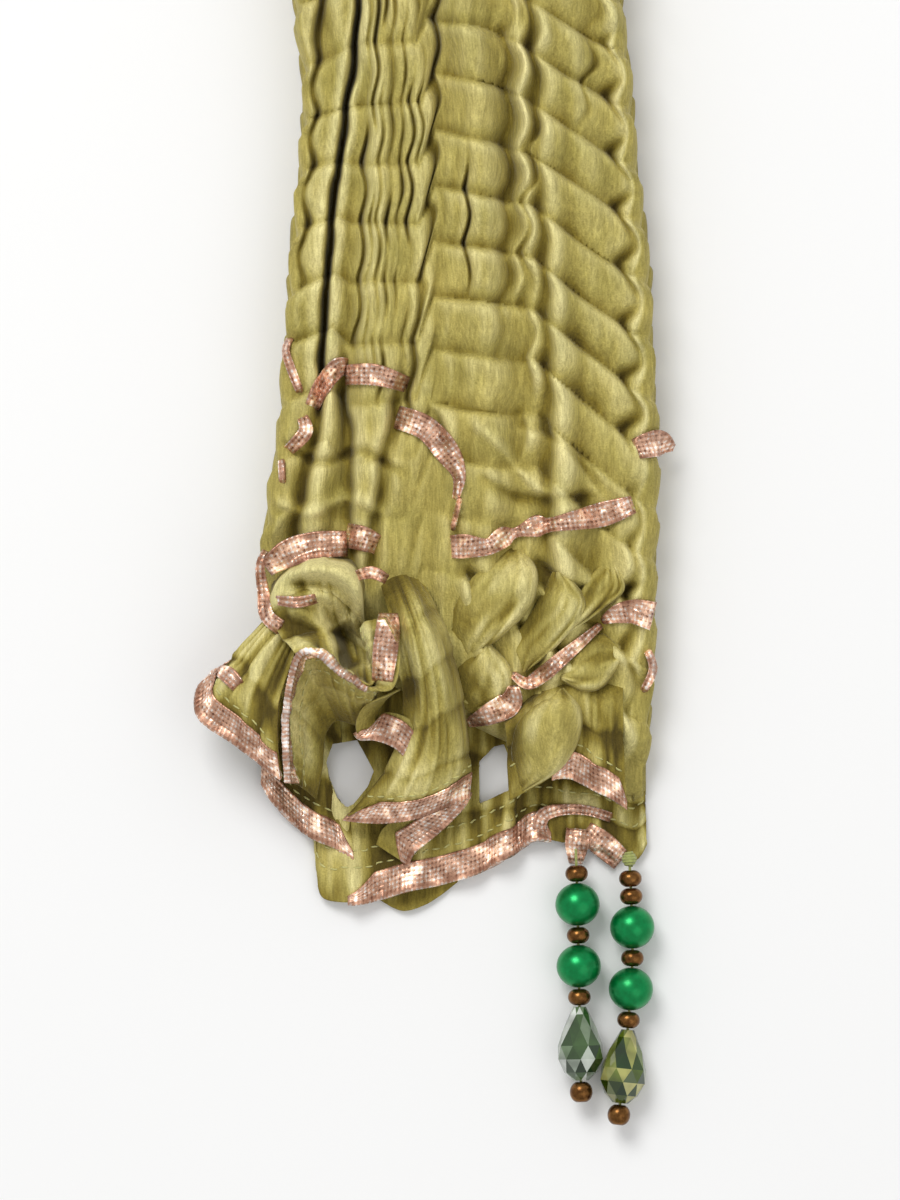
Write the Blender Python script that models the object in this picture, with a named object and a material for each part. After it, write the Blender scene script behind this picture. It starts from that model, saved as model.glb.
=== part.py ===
# Dupatta stole of crinkled chiffon, folded once, gathered lengthwise and laid flat.
# Metres, +Z up. The stole lies along Y with its beaded end towards -Y, and rests on z = 0.
# Tables are in millimetres: x across from the middle, y up from the tip of the longest bead strand.
import math

import bmesh
import bpy
from mathutils import Vector
from mathutils.bvhtree import BVHTree

MM = 0.001

# Whole object
LAID_LENGTH = 842.0        # strand tip to the crosswise fold
GAP = 0.35                 # between neighbouring pieces
ABOVE = 80.0               # a height over everything
CRINKLE = 9.7              # pitch of the pressed cross pleats
CRINKLE_DEPTH = 2.1        # how far a pleat's foot lies under its crown

# Gathered bundle: both halves of the stole, one on the other
BUNDLE_END = 95.0          # where the left side of the bundle opens into the hem
BUNDLE_SKEW = -34.0        # how much nearer the tip the right side of that end lies
SKEW_START = 150.0
FOLD_ROUND = 16.0          # length over which the far fold rounds off
FOLD_MIDDLE = 0.35         # height, as a share, towards which it rounds
FOLD_DRIFT = 0.006         # how far the lengthwise folds drift across, as a share of the width
FOLD_WANDER = 0.06         # how far their heights change along the stole
UNDERSIDE_LIFT = 2.0       # how far the underside of the far fold turns up

# y, left edge, right edge and height of the bundle
BUNDLE_COLUMNS = ("y", "left", "right", "height")
BUNDLE_TABLE = (
    (95.0, -30.5, 38.0, 10.5),
    (104.0, -31.5, 38.8, 14.0),
    (112.0, -30.5, 39.8, 16.5),
    (128.0, -28.0, 40.0, 19.0),
    (150.0, -26.6, 38.8, 21.0),
    (185.0, -24.0, 35.6, 22.0),
    (202.0, -25.5, 33.6, 22.5),
    (260.0, -27.5, 31.5, 23.0),
    (360.0, -29.0, 32.0, 22.0),
    (470.0, -31.5, 30.0, 22.5),
    (590.0, -30.0, 32.5, 22.0),
    (700.0, -32.5, 33.5, 21.0),
    (800.0, -34.5, 35.0, 20.0),
    (842.0, -35.0, 35.5, 18.5),
)

# Lengthwise folds: place across the width (0 left, 1 right), height (share of the
# bundle's), how far its cross pleats are shifted along, and how much of them it shows
FOLD_COLUMNS = ("across", "rise", "shift", "crinkle")
FOLD_TABLE = (
    (0.035, 0.66, 0.0, 1.0),
    (0.085, 0.56, 1.0, 0.6),
    (0.130, 0.72, 1.8, 1.0),
    (0.178, 0.38, 1.0, 0.4),
    (0.225, 0.84, 0.0, 0.8),
    (0.290, 0.90, -1.0, 0.5),
    (0.350, 0.88, -1.5, 0.7),
    (0.408, 0.60, -2.0, 0.5),
    (0.455, 0.93, -2.5, 1.1),
    (0.555, 1.00, -6.0, 1.1),
    (0.620, 0.72, -7.0, 0.6),
    (0.665, 0.90, -6.5, 0.8),
    (0.700, 0.78, -6.0, 0.6),
    (0.725, 0.95, -6.0, 1.0),
    (0.800, 0.84, -12.0, 1.1),
    (0.880, 0.70, -17.0, 0.8),
    (0.945, 0.76, -21.0, 1.1),
)

# Sides of the bundle, from the top down: inset from the edge in mm, height share
SIDE_COLUMNS = ("inset", "rise")
SIDE_TABLE = (
    (0.2, 0.42),
    (2.4, 0.27),
    (0.0, 0.12),
)

# Cloth walls of the open end
WALL = 1.0
WALL_STEPS = (0.0, 0.2, 0.45, 0.72, 1.0)             # rows from hem to root; the first holds the tape
ROLL_STEPS = (0.0, 0.12, 0.33, 0.55, 0.78, 1.0)
ROOT_REACH = 2.4           # a wall's root clears what lies this near it on the bundle
TAPE_WIDTH = 5.0
TAPE = 0.6
TAPE_REACH = 2.6           # and so does a row of tape
TURN_REST = 6.0            # height at which the turned end of a row leaves the cloth

# End of the upper half, left: the hem fans out to the left and turns over at its tip.
# Each row is a pleat: hem point, middle point, and root point on the bundle.
FAN_COLUMNS = ("hem", "middle", "root")
FAN_TABLE = (
    ((-35.2, 78.8, 4.5), (-32.6, 84.5, 7.5), (-28.8, 95.0)),
    ((-38.6, 81.0, 7.6), (-34.2, 86.3, 10.6), (-27.2, 95.8)),
    ((-42.0, 78.2, 10.2), (-36.2, 84.6, 13.2), (-25.6, 96.3)),
    ((-41.8, 73.2, 12.6), (-35.4, 81.6, 15.4), (-24.0, 96.4)),
    ((-34.8, 68.2, 14.6), (-32.0, 79.6, 17.8), (-22.4, 96.3)),
    ((-28.0, 63.0, 15.0), (-28.4, 78.0, 20.4), (-20.8, 96.2)),
)

# End of the upper half, middle: the hem curls up into an open funnel.
# Each row is a place round the rim: rim point, middle point and foot point.
CURL_COLUMNS = ("hem", "middle", "foot")
CURL_TABLE = (
    ((-26.9, 62.6, 16.2), (-24.0, 60.6, 10.0), (-21.6, 58.6, 5.0)),
    ((-27.0, 70.0, 19.4), (-22.8, 67.0, 12.5), (-20.4, 64.0, 6.0)),
    ((-26.4, 78.0, 22.5), (-21.8, 74.0, 15.0), (-19.8, 70.0, 7.5)),
    ((-24.6, 84.4, 25.0), (-20.2, 77.6, 16.5), (-18.0, 72.6, 8.5)),
    ((-20.6, 84.8, 26.2), (-17.8, 77.0, 17.5), (-16.2, 72.6, 9.0)),
    ((-16.6, 81.2, 26.0), (-15.0, 75.6, 17.5), (-14.4, 72.0, 9.5)),
    ((-11.6, 78.4, 25.2), (-12.0, 74.8, 17.0), (-12.4, 72.0, 9.5)),
    ((-7.8, 79.8, 25.6), (-9.8, 77.2, 17.5), (-10.8, 74.0, 10.0)),
    ((-7.0, 85.2, 27.0), (-9.6, 83.0, 18.5), (-11.2, 81.0, 11.0)),
    ((-9.0, 91.0, 27.6), (-11.4, 89.6, 19.0), (-12.6, 89.4, 11.2)),
)

# End of the upper half, right of the funnel: one broad fold that rolls down to the hem.
# Each row is a line down the fold: hem point, low point, high point, root point.
ROLL_COLUMNS = ("hem", "low", "high", "root")
ROLL_TABLE = (
    ((-13.6, 57.0, 6.6), (-5.2, 71.0, 14.5), (-4.6, 84.0, 22.0), (-9.0, 96.2)),
    ((-8.0, 58.2, 9.0), (-2.2, 72.6, 18.6), (-1.8, 86.0, 25.6), (-5.6, 97.0)),
    ((-1.0, 59.2, 10.6), (1.4, 72.2, 19.4), (1.8, 85.0, 25.4), (-1.6, 97.2)),
    ((3.6, 60.6, 10.4), (4.6, 70.6, 15.6), (4.8, 82.0, 20.4), (2.4, 96.8)),
    ((6.0, 59.4, 7.4), (6.8, 68.6, 10.6), (7.4, 79.6, 14.6), (5.6, 96.0)),
)

# End of the lower half, flat on the surface under the rest: hem point and root place.
# Each row is a half wave of the ruffled hem.
LOWER_COLUMNS = ("x", "y", "z", "root_x")
LOWER_TABLE = (
    (-31.2, 62.6, 1.0, -29.0),
    (-27.0, 57.2, 3.6, -25.6),
    (-22.0, 51.6, 1.2, -22.0),
    (-19.0, 46.4, 2.6, -18.8),
    (-17.2, 42.0, 1.4, -15.0),
    (-12.4, 40.0, 4.0, -11.0),
    (-5.2, 38.6, 1.2, -4.6),
    (3.2, 43.6, 4.0, 2.0),
    (8.0, 46.0, 1.4, 7.4),
    (13.8, 49.2, 4.4, 14.2),
    (18.8, 51.6, 1.2, 19.0),
    (23.3, 50.4, 3.8, 23.6),
    (28.5, 49.8, 1.4, 28.4),
    (33.2, 48.8, 3.6, 33.0),
    (37.2, 47.6, 1.2, 37.0),
)
LOWER_REST = 0.6                                     # middle of the wall where it lies flat
LOWER_STEPS = (0.0, 0.14, 0.34, 0.58, 0.8, 1.0)     # rows from hem to root
LOWER_TAPE_END = 26                                  # half pleats that the hem tape covers
HOLE_COLUMNS = ("first_pleat", "last_pleat", "first_step", "last_step")
LOWER_HOLES = ((3, 5, 2, 3), (8, 9, 2, 4))          # where the surface shows between folds

# End of the upper half, right: it comes down over the lower end in shallow folds.
# Each row is a fold: hem point, middle point and root point on the bundle.
SKIRT_COLUMNS = ("hem", "middle", "root")
SKIRT_TABLE = (
    ((15.4, 57.6, 6.6), (14.6, 66.0, 8.8), (13.4, 72.8)),
    ((18.6, 60.6, 8.4), (18.2, 68.4, 11.0), (17.4, 75.4)),
    ((22.0, 63.2, 9.6), (22.0, 70.6, 12.0), (21.8, 78.4)),
    ((26.0, 61.6, 8.6), (25.8, 69.4, 11.6), (25.6, 80.0)),
    ((30.0, 60.0, 9.4), (29.8, 68.0, 12.0), (29.6, 80.4)),
    ((33.8, 58.2, 7.6), (33.6, 67.0, 10.8), (33.4, 79.6)),
)

# Metallic tape stitched on in rows: x and y of points along the middle of the tape
ROW_ONE_LEFT = (
    (-25.6, 129.6), (-22.0, 131.2), (-18.6, 134.4), (-13.0, 134.8), (-7.6, 133.2),
    (-3.0, 128.4), (0.8, 123.0), (3.4, 117.0), (4.0, 110.6),
)
ROW_ONE_RIGHT = (
    (3.6, 103.4), (9.0, 104.0), (15.0, 106.4), (20.4, 107.6), (28.6, 109.4), (36.0, 111.6),
)
ROW_ONE_TURN = ((34.6, 120.8), (38.8, 122.0), (42.8, 121.8))
ROW_TWO_LEFT = ((-30.0, 100.4), (-26.8, 102.6), (-21.6, 104.4), (-15.6, 105.0), (-10.0, 104.6))
ROW_TWO_RIGHT = (
    (8.6, 75.2), (13.0, 76.8), (17.2, 79.8), (21.4, 83.0), (25.4, 86.4),
    (29.6, 90.0), (34.0, 92.0), (39.2, 91.8),
)

# Bead strands: kinds from the cloth down, and the thread's points
THREAD = 0.5
THREAD_SIDES = 6
THREAD_POINTS = 18
BEAD_GAP = 0.3
BORE = 1.2
BEAD_KINDS = {"seed": (2.9, 4.1), "pearl": (7.6, 8.0), "drop": (13.2, 8.4), "end": (3.6, 4.1)}
DROP_PROFILE = ((-1.0, 0.32), (-0.72, 0.72), (-0.2, 1.0), (0.25, 0.84), (0.72, 0.5), (1.0, 0.3))
STRANDS = {
    "left": {
        "beads": ("seed", "pearl", "seed", "pearl", "seed", "drop", "end"),
        "top": 46.6,
        "thread": ((25.2, 49.6, 4.2), (25.5, 40.0, 4.1), (25.8, 25.0, 4.2), (26.2, 4.6, 4.6)),
    },
    "right": {
        "beads": ("seed", "seed", "pearl", "seed", "pearl", "seed", "drop", "end"),
        "top": 45.7,
        "thread": ((34.8, 48.6, 4.3), (35.4, 32.0, 4.1), (34.6, 18.0, 4.3), (32.8, 0.5, 4.6)),
    },
}


def clear_scene():
    for item in list(bpy.data.objects):
        bpy.data.objects.remove(item, do_unlink=True)


def make_material(name, colour, roughness, metallic=0.0, sheen=0.0):
    material = bpy.data.materials.new(name)
    material.use_nodes = True
    shader = material.node_tree.nodes["Principled BSDF"]
    shader.inputs["Base Color"].default_value = (*colour, 1.0)
    shader.inputs["Roughness"].default_value = roughness
    shader.inputs["Metallic"].default_value = metallic
    shader.inputs["Sheen Weight"].default_value = sheen
    material.diffuse_color = (*colour, 1.0)
    return material


def place(x, y, z):
    """Table millimetres to the part's own frame in metres."""
    return Vector((x * MM, (y - LAID_LENGTH / 2.0) * MM, z * MM))


def spline(points, t):
    """Catmull-Rom curve through the points, t from 0 to 1."""
    last = len(points) - 1
    span = min(int(t * last), last - 1)
    u = t * last - span
    result = []
    for axis in range(len(points[0])):
        a = points[max(span - 1, 0)][axis]
        b = points[span][axis]
        c = points[span + 1][axis]
        d = points[min(span + 2, last)][axis]
        result.append(
            0.5 * (2 * b + (c - a) * u + (2 * a - 5 * b + 4 * c - d) * u * u
                   + (3 * b - a - 3 * c + d) * u ** 3)
        )
    return result


def rows_of(columns, table):
    """Rows of a table as dictionaries by column name."""
    return [dict(zip(columns, row)) for row in table]


def look_up(rows, column, y):
    """Smooth value of a column at a place along the stole."""
    if y <= rows[0]["y"]:
        return rows[0][column]
    for low, high in zip(rows, rows[1:]):
        if y <= high["y"]:
            u = (y - low["y"]) / (high["y"] - low["y"])
            u = u * u * (3.0 - 2.0 * u)
            return low[column] + (high[column] - low[column]) * u
    return rows[-1][column]


def add_object(name, points, faces, material, smooth=True):
    mesh = bpy.data.meshes.new(name)
    mesh.from_pydata([tuple(point) for point in points], [], faces)
    mesh.materials.append(material)
    shaped = bmesh.new()
    shaped.from_mesh(mesh)
    bmesh.ops.recalc_face_normals(shaped, faces=shaped.faces)
    shaped.to_mesh(mesh)
    shaped.free()
    if smooth:
        mesh.shade_smooth()
    item = bpy.data.objects.new(name, mesh)
    bpy.context.collection.objects.link(item)
    return item


def bundle_ring(y, high, roll):
    """One closed ring of the bundle. high is 1 on a pleat's crown and 0 at its foot."""
    stations = rows_of(BUNDLE_COLUMNS, BUNDLE_TABLE)
    folds = rows_of(FOLD_COLUMNS, FOLD_TABLE)
    sides = rows_of(SIDE_COLUMNS, SIDE_TABLE)
    left = look_up(stations, "left", y)
    width = look_up(stations, "right", y) - left
    height = look_up(stations, "height", y)
    skew = max(0.0, (SKEW_START - y) / (SKEW_START - BUNDLE_END))
    skew = skew * skew * (3.0 - 2.0 * skew)
    foot = 1.0 - high

    def ring_point(across, z, shift):
        along = shift * (1.0 - skew) * roll + BUNDLE_SKEW * across * skew
        middle = height * FOLD_MIDDLE
        return place(left + width * across, y + along, middle + (z - middle) * (0.55 + 0.45 * roll))

    ring = []
    for fold in folds:
        across = fold["across"] + FOLD_DRIFT * math.sin(y / 17.0 + fold["across"] * 19.0)
        wander = 1.0 + FOLD_WANDER * math.sin(y / 31.0 + fold["across"] * 40.0)
        z = height * fold["rise"] * wander - CRINKLE_DEPTH * fold["crinkle"] * foot
        ring.append(ring_point(across, z, fold["shift"]))
    for side in sides:
        inset = (side["inset"] + foot) / width
        ring.append(ring_point(1.0 - inset, height * side["rise"], folds[-1]["shift"]))
    for across, fold in ((0.97, folds[-1]), (0.5, folds[len(folds) // 2]), (0.03, folds[0])):
        point = ring_point(across, 0.0, fold["shift"])
        point.z = UNDERSIDE_LIFT * MM * (1.0 - roll)
        ring.append(point)
    for side in reversed(sides):
        inset = (side["inset"] + foot) / width
        ring.append(ring_point(inset, height * side["rise"], folds[0]["shift"]))
    return ring


def make_bundle(material):
    """Gathered run of the stole: rounded, layered at its edges, flat underneath."""
    rings = []
    steps = int((LAID_LENGTH - BUNDLE_END) / CRINKLE * 2.0)
    spacing = (LAID_LENGTH - BUNDLE_END) / steps
    for step in range(steps + 1):
        y = BUNDLE_END + spacing * step
        to_fold = min((LAID_LENGTH - y) / FOLD_ROUND, 1.0)
        roll = math.sqrt(max(0.0, 1.0 - (1.0 - to_fold) ** 2))
        rings.append(bundle_ring(y, step % 2, roll))
    count = len(rings[0])
    points = [point for ring in rings for point in ring]
    faces = []
    for row in range(len(rings) - 1):
        for column in range(count):
            beside = (column + 1) % count
            faces.append((row * count + column, row * count + beside,
                          (row + 1) * count + beside, (row + 1) * count + column))
    faces.append(tuple(range(count)))
    faces.append(tuple(range((len(rings) - 1) * count, len(rings) * count)))
    return add_object("stole_bundle", points, faces, material)


def surface_of(item):
    shaped = bmesh.new()
    shaped.from_mesh(item.data)
    tree = BVHTree.FromBMesh(shaped)
    shaped.free()
    return tree


def height_on(tree, x, y, reach):
    """Highest point of a surface within reach of a place, in millimetres."""
    best = 0.0
    for share in (0.0, 0.5, 1.0):
        for turn in range(8):
            dx = reach * share * math.cos(turn * math.pi / 4.0)
            dy = reach * share * math.sin(turn * math.pi / 4.0)
            hit = tree.ray_cast(place(x + dx, y + dy, ABOVE), Vector((0.0, 0.0, -1.0)))[0]
            if hit:
                best = max(best, hit.z / MM)
    return best


def make_grid(rows, along, across):
    """Grid of points through a net of rows. Each row runs from hem to root."""
    grid = []
    for i in range(along):
        t = i / (along - 1)
        line = [spline([row[k] for row in rows], t) for k in range(len(rows[0]))]
        grid.append([spline(line, s) for s in across])
    return grid


def grid_normals(grid):
    normals = []
    for i, line in enumerate(grid):
        before = grid[max(i - 1, 0)]
        after = grid[min(i + 1, len(grid) - 1)]
        row = []
        for k in range(len(line)):
            along = Vector(after[k]) - Vector(before[k])
            over = Vector(line[min(k + 1, len(line) - 1)]) - Vector(line[max(k - 1, 0)])
            row.append(along.cross(over).normalized())
        normals.append(row)
    return normals


def make_sheet(name, grid, thickness, material, lift=0.0, rise=0.0, holes=(), columns=None):
    """Wall of even thickness on a grid, lifted off it along its normals or straight up."""
    normals = grid_normals(grid)
    width = columns or len(grid[0])
    points = []
    for line, row in zip(grid, normals):
        for point, normal in zip(line[:width], row[:width]):
            points.append(place(*(Vector(point) + normal * lift + Vector((0.0, 0.0, rise)))))
    faces = []
    for i in range(len(grid) - 1):
        for k in range(width - 1):
            if any(a <= i < b and c <= k < d for a, b, c, d in holes):
                continue
            faces.append((i * width + k, i * width + k + 1,
                          (i + 1) * width + k + 1, (i + 1) * width + k))
    mesh = bpy.data.meshes.new(name)
    mesh.from_pydata([tuple(point) for point in points], [], faces)
    mesh.materials.append(material)
    mesh.shade_smooth()
    item = bpy.data.objects.new(name, mesh)
    bpy.context.collection.objects.link(item)
    solid = item.modifiers.new("thickness", "SOLIDIFY")
    solid.thickness = thickness * MM
    solid.offset = 0.0
    return item


def rooted(columns, table, tree):
    """Net of a wall, from hem to root, with each root point set just over the bundle."""
    net = []
    for row in rows_of(columns, table):
        z = height_on(tree, *row["root"], ROOT_REACH) + GAP + WALL / 2.0
        net.append([row[column] for column in columns[:-1]] + [(*row["root"], z)])
    return net


def end_line(x):
    """y of the bundle's open end at a place across it."""
    end = rows_of(BUNDLE_COLUMNS, BUNDLE_TABLE)[0]
    return BUNDLE_END + BUNDLE_SKEW * (x - end["left"]) / (end["right"] - end["left"])


def lower_net():
    """Net of the lower end, which lies on the surface and meets the bundle's foot."""
    net = []
    for row in rows_of(LOWER_COLUMNS, LOWER_TABLE):
        hem = Vector((row["x"], row["y"], row["z"]))
        rest = Vector((row["root_x"], end_line(row["root_x"]) - GAP - 0.2, LOWER_REST))
        middle = hem.lerp(rest, 0.55)
        middle.z = LOWER_REST + 0.3 * row["z"]
        net.append([hem, middle, rest])
    return net


def make_row(name, path, tree, material, reach=TAPE_REACH, edge=0.0):
    """Tape laid over the bundle along a path, just clear of it."""
    count = 3 * len(path)
    grid = []
    for i in range(count + 1):
        t = i / count
        x, y = spline(path, t)
        ahead = spline(path, min(t + 0.01, 1.0))
        behind = spline(path, max(t - 0.01, 0.0))
        side = Vector((behind[1] - ahead[1], ahead[0] - behind[0])).normalized()
        line = []
        for step in (-0.5, 0.0, 0.5):
            px = x + side.x * step * TAPE_WIDTH
            py = y + side.y * step * TAPE_WIDTH
            z = height_on(tree, px, py, reach=reach) + GAP + TAPE
            line.append((px, py, max(z, edge)))
        grid.append(line)
    return make_sheet(name, grid, TAPE, material)


def make_bead(name, kind, centre, direction, material):
    """Turned bead with a bore, its axis along the thread."""
    length, width = BEAD_KINDS[kind]
    radius = width / 2.0
    half = length / 2.0
    bore = BORE / 2.0
    if kind == "drop":
        sides = 10
        profile = [(half * along, radius * out) for along, out in DROP_PROFILE]
    else:
        sides = 14 if kind == "pearl" else 10
        bends = 8 if kind == "pearl" else 4
        lip = math.asin(min(1.0, (bore + 0.25) / radius))
        profile = []
        for i in range(bends + 1):
            angle = lip + (math.pi - 2.0 * lip) * i / bends
            along = -half * math.cos(angle) / math.cos(lip)
            profile.append((along, radius * math.sin(angle)))
    profile = [(profile[0][0], bore)] + profile + [(profile[-1][0], bore)]
    turn = Vector(direction).to_track_quat("Z", "X")
    points = []
    faces = []
    for along, out in profile:
        for side in range(sides):
            angle = 2.0 * math.pi * side / sides
            local = Vector((out * math.cos(angle), out * math.sin(angle), along))
            points.append(place(*centre) + turn @ local * MM)
    rings = len(profile)
    for ring in range(rings):
        for side in range(sides):
            beside = (side + 1) % sides
            above = (ring + 1) % rings
            faces.append((ring * sides + side, ring * sides + beside,
                          above * sides + beside, above * sides + side))
    return add_object(name, points, faces, material, smooth=kind != "drop")


def make_strand(side, strand, materials):
    """Beads one under another on a thread, a hair apart."""
    path = strand["thread"]
    top = path[0][1]
    bottom = path[-1][1]

    def on_thread(y):
        return spline(path, min(1.0, max(0.0, (top - y) / (top - bottom))))

    y = strand["top"]
    for number, kind in enumerate(strand["beads"], start=1):
        length = BEAD_KINDS[kind][0]
        y -= length / 2.0
        centre = Vector(on_thread(y))
        centre.y = y
        direction = Vector(on_thread(y + 2.0)) - Vector(on_thread(y - 2.0))
        make_bead(f"{side}_bead_{number}_{kind}", kind, centre, direction, materials[kind])
        y -= length / 2.0 + BEAD_GAP
    make_thread(f"{side}_thread", path, materials["thread"])


def make_thread(name, path, material):
    points = []
    faces = []
    for i in range(THREAD_POINTS):
        centre = spline(path, i / (THREAD_POINTS - 1))
        for k in range(THREAD_SIDES):
            angle = 2.0 * math.pi * k / THREAD_SIDES
            points.append(place(centre[0] + THREAD / 2.0 * math.cos(angle), centre[1],
                                centre[2] + THREAD / 2.0 * math.sin(angle)))
    for i in range(THREAD_POINTS - 1):
        for k in range(THREAD_SIDES):
            beside = (k + 1) % THREAD_SIDES
            faces.append((i * THREAD_SIDES + k, i * THREAD_SIDES + beside,
                          (i + 1) * THREAD_SIDES + beside, (i + 1) * THREAD_SIDES + k))
    faces.append(tuple(range(THREAD_SIDES)))
    faces.append(tuple(range((THREAD_POINTS - 1) * THREAD_SIDES, THREAD_POINTS * THREAD_SIDES)))
    add_object(name, points, faces, material)


def main():
    clear_scene()
    cloth = make_material("olive_chiffon", (0.36, 0.33, 0.085), 0.82, sheen=0.35)
    tape = make_material("rose_gold_tape", (0.72, 0.45, 0.33), 0.32, metallic=0.85)
    pearl = make_material("green_pearl", (0.0, 0.34, 0.12), 0.22)
    bronze = make_material("bronze_seed", (0.28, 0.13, 0.045), 0.3, metallic=0.85)
    glass = make_material("green_glass", (0.12, 0.33, 0.13), 0.06)
    thread = make_material("green_thread", (0.33, 0.38, 0.1), 0.7)

    bundle = make_bundle(cloth)
    tree = surface_of(bundle)

    fan = make_grid(rooted(FAN_COLUMNS, FAN_TABLE, tree), 16, WALL_STEPS)
    make_sheet("upper_end_fan", fan, WALL, cloth)
    curl = make_grid([[row[column] for column in CURL_COLUMNS]
                      for row in rows_of(CURL_COLUMNS, CURL_TABLE)], 25, WALL_STEPS)
    make_sheet("upper_end_curl", curl, WALL, cloth)
    roll = make_grid(rooted(ROLL_COLUMNS, ROLL_TABLE, tree), 12, ROLL_STEPS)
    make_sheet("upper_end_roll", roll, WALL, cloth)
    skirt = make_grid(rooted(SKIRT_COLUMNS, SKIRT_TABLE, tree), 13, WALL_STEPS)
    make_sheet("upper_end_skirt", skirt, WALL, cloth)
    lower = make_grid(lower_net(), 2 * len(LOWER_TABLE) - 1, LOWER_STEPS)
    holes = [(2 * hole["first_pleat"], 2 * hole["last_pleat"], hole["first_step"], hole["last_step"])
             for hole in rows_of(HOLE_COLUMNS, LOWER_HOLES)]
    make_sheet("lower_end", lower, WALL, cloth, holes=holes)

    lift = WALL / 2.0 + GAP + TAPE / 2.0
    for name, grid, side in (("hem_tape_fan", fan, 1.0), ("hem_tape_curl", curl, -1.0),
                             ("hem_tape_roll", roll, 1.0), ("hem_tape_skirt", skirt, 1.0)):
        make_sheet(name, grid, TAPE, tape, lift=side * lift, columns=2)
    make_sheet("hem_tape_lower", lower[:LOWER_TAPE_END], TAPE, tape, rise=lift + 0.4, columns=2)
    make_row("row_one_left", ROW_ONE_LEFT, tree, tape)
    make_row("row_one_right", ROW_ONE_RIGHT, tree, tape)
    make_row("row_one_turn", ROW_ONE_TURN, tree, tape, reach=1.1, edge=TURN_REST)
    make_row("row_two_left", ROW_TWO_LEFT, tree, tape)
    make_row("row_two_right", ROW_TWO_RIGHT, tree, tape)

    materials = {"seed": bronze, "end": bronze, "pearl": pearl, "drop": glass, "thread": thread}
    for side, strand in STRANDS.items():
        make_strand(side, strand, materials)


main()
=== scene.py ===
import math

import bpy
import numpy as np
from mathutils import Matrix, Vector
from mathutils.bvhtree import BVHTree


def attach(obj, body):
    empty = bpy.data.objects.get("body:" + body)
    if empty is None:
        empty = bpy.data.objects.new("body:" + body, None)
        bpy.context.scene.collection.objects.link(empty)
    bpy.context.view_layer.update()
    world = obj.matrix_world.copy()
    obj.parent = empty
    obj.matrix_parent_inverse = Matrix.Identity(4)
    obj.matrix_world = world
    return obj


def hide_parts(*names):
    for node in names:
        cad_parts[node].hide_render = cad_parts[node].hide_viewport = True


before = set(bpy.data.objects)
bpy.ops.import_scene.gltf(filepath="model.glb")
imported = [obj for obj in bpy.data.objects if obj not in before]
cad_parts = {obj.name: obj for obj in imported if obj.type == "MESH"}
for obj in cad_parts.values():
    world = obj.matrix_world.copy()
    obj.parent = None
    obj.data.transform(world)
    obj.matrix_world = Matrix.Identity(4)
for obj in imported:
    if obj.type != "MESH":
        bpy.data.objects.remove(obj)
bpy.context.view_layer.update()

laidLength = 842.0
crinklePitch = 9.7          # one pressed cross pleat
noiseSize = 256
noiseTable = np.random.default_rng(11).uniform(-1.0, 1.0, (noiseSize, noiseSize))


# Helpers for places, curves and noise

def toMetres(points):
    return (np.asarray(points, float) - (0.0, laidLength / 2.0, 0.0)) * 0.001


def ramp(low, high, value):     # 0 below low, 1 above high, eased between them
    t = np.clip((value - low) / (high - low), 0.0, 1.0)
    return t * t * (3.0 - 2.0 * t)


def column(table, index):
    return np.array([row[index] for row in table], float)


def eased(table, index, y):     # a column of a table, eased from row to row
    ys = column(table, 0)
    values = column(table, index)
    k = np.clip(np.searchsorted(ys, y, side="right") - 1, 0, len(ys) - 2)
    t = np.clip((y - ys[k]) / (ys[k + 1] - ys[k]), 0.0, 1.0)
    return values[k] + (values[k + 1] - values[k]) * t * t * (3.0 - 2.0 * t)


def through(xs, values, x):     # smooth curve through a few values
    xs = np.asarray(xs, float)
    values = np.asarray(values, float)
    slopes = np.gradient(values, xs)
    k = np.clip(np.searchsorted(xs, x, side="right") - 1, 0, len(xs) - 2)
    span = xs[k + 1] - xs[k]
    t = np.clip((x - xs[k]) / span, 0.0, 1.0)
    start = (1.0 + 2.0 * t) * (1.0 - t) ** 2 * values[k] + t * (1.0 - t) ** 2 * span * slopes[k]
    end = t * t * (3.0 - 2.0 * t) * values[k + 1] - t * t * (1.0 - t) * span * slopes[k + 1]
    return start + end


def softNoise(a, b):            # smooth random waves, about -1 to 1, one wave per unit
    ia = np.floor(a).astype(int)
    ib = np.floor(b).astype(int)
    fa = a - ia
    fb = b - ib
    fa = fa * fa * (3.0 - 2.0 * fa)
    fb = fb * fb * (3.0 - 2.0 * fb)

    def corner(da, db):
        return noiseTable[(ia + da) % noiseSize, (ib + db) % noiseSize]

    first = corner(0, 0) + (corner(1, 0) - corner(0, 0)) * fa
    second = corner(0, 1) + (corner(1, 1) - corner(0, 1)) * fa
    return first + (second - first) * fb


def splineRows(net, count):     # a smooth sheet or line through the rows of a net
    net = np.asarray(net, float)
    last = len(net) - 1
    t = np.linspace(0.0, last, count)
    k = np.minimum(t.astype(int), last - 1)
    u = (t - k).reshape((-1,) + (1,) * (net.ndim - 1))
    a = net[np.maximum(k - 1, 0)]
    b = net[k]
    c = net[k + 1]
    d = net[np.minimum(k + 2, last)]
    return 0.5 * (2 * b + (c - a) * u + (2 * a - 5 * b + 4 * c - d) * u ** 2
                  + (3 * b - a - 3 * c + d) * u ** 3)


def blurred(values, *reaches):  # running mean both ways over a grid
    for axis in (0, 1):
        reach = reaches[min(axis, len(reaches) - 1)]
        padded = np.concatenate([np.repeat(values.take([0], axis), reach, axis), values,
                                 np.repeat(values.take([-1], axis), reach, axis)], axis)
        total = np.cumsum(np.insert(padded, 0, 0.0, axis), axis)
        size = 2 * reach + 1
        count = values.shape[axis]
        values = (total.take(range(size, size + count), axis)
                  - total.take(range(count), axis)) / size
    return values


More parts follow.
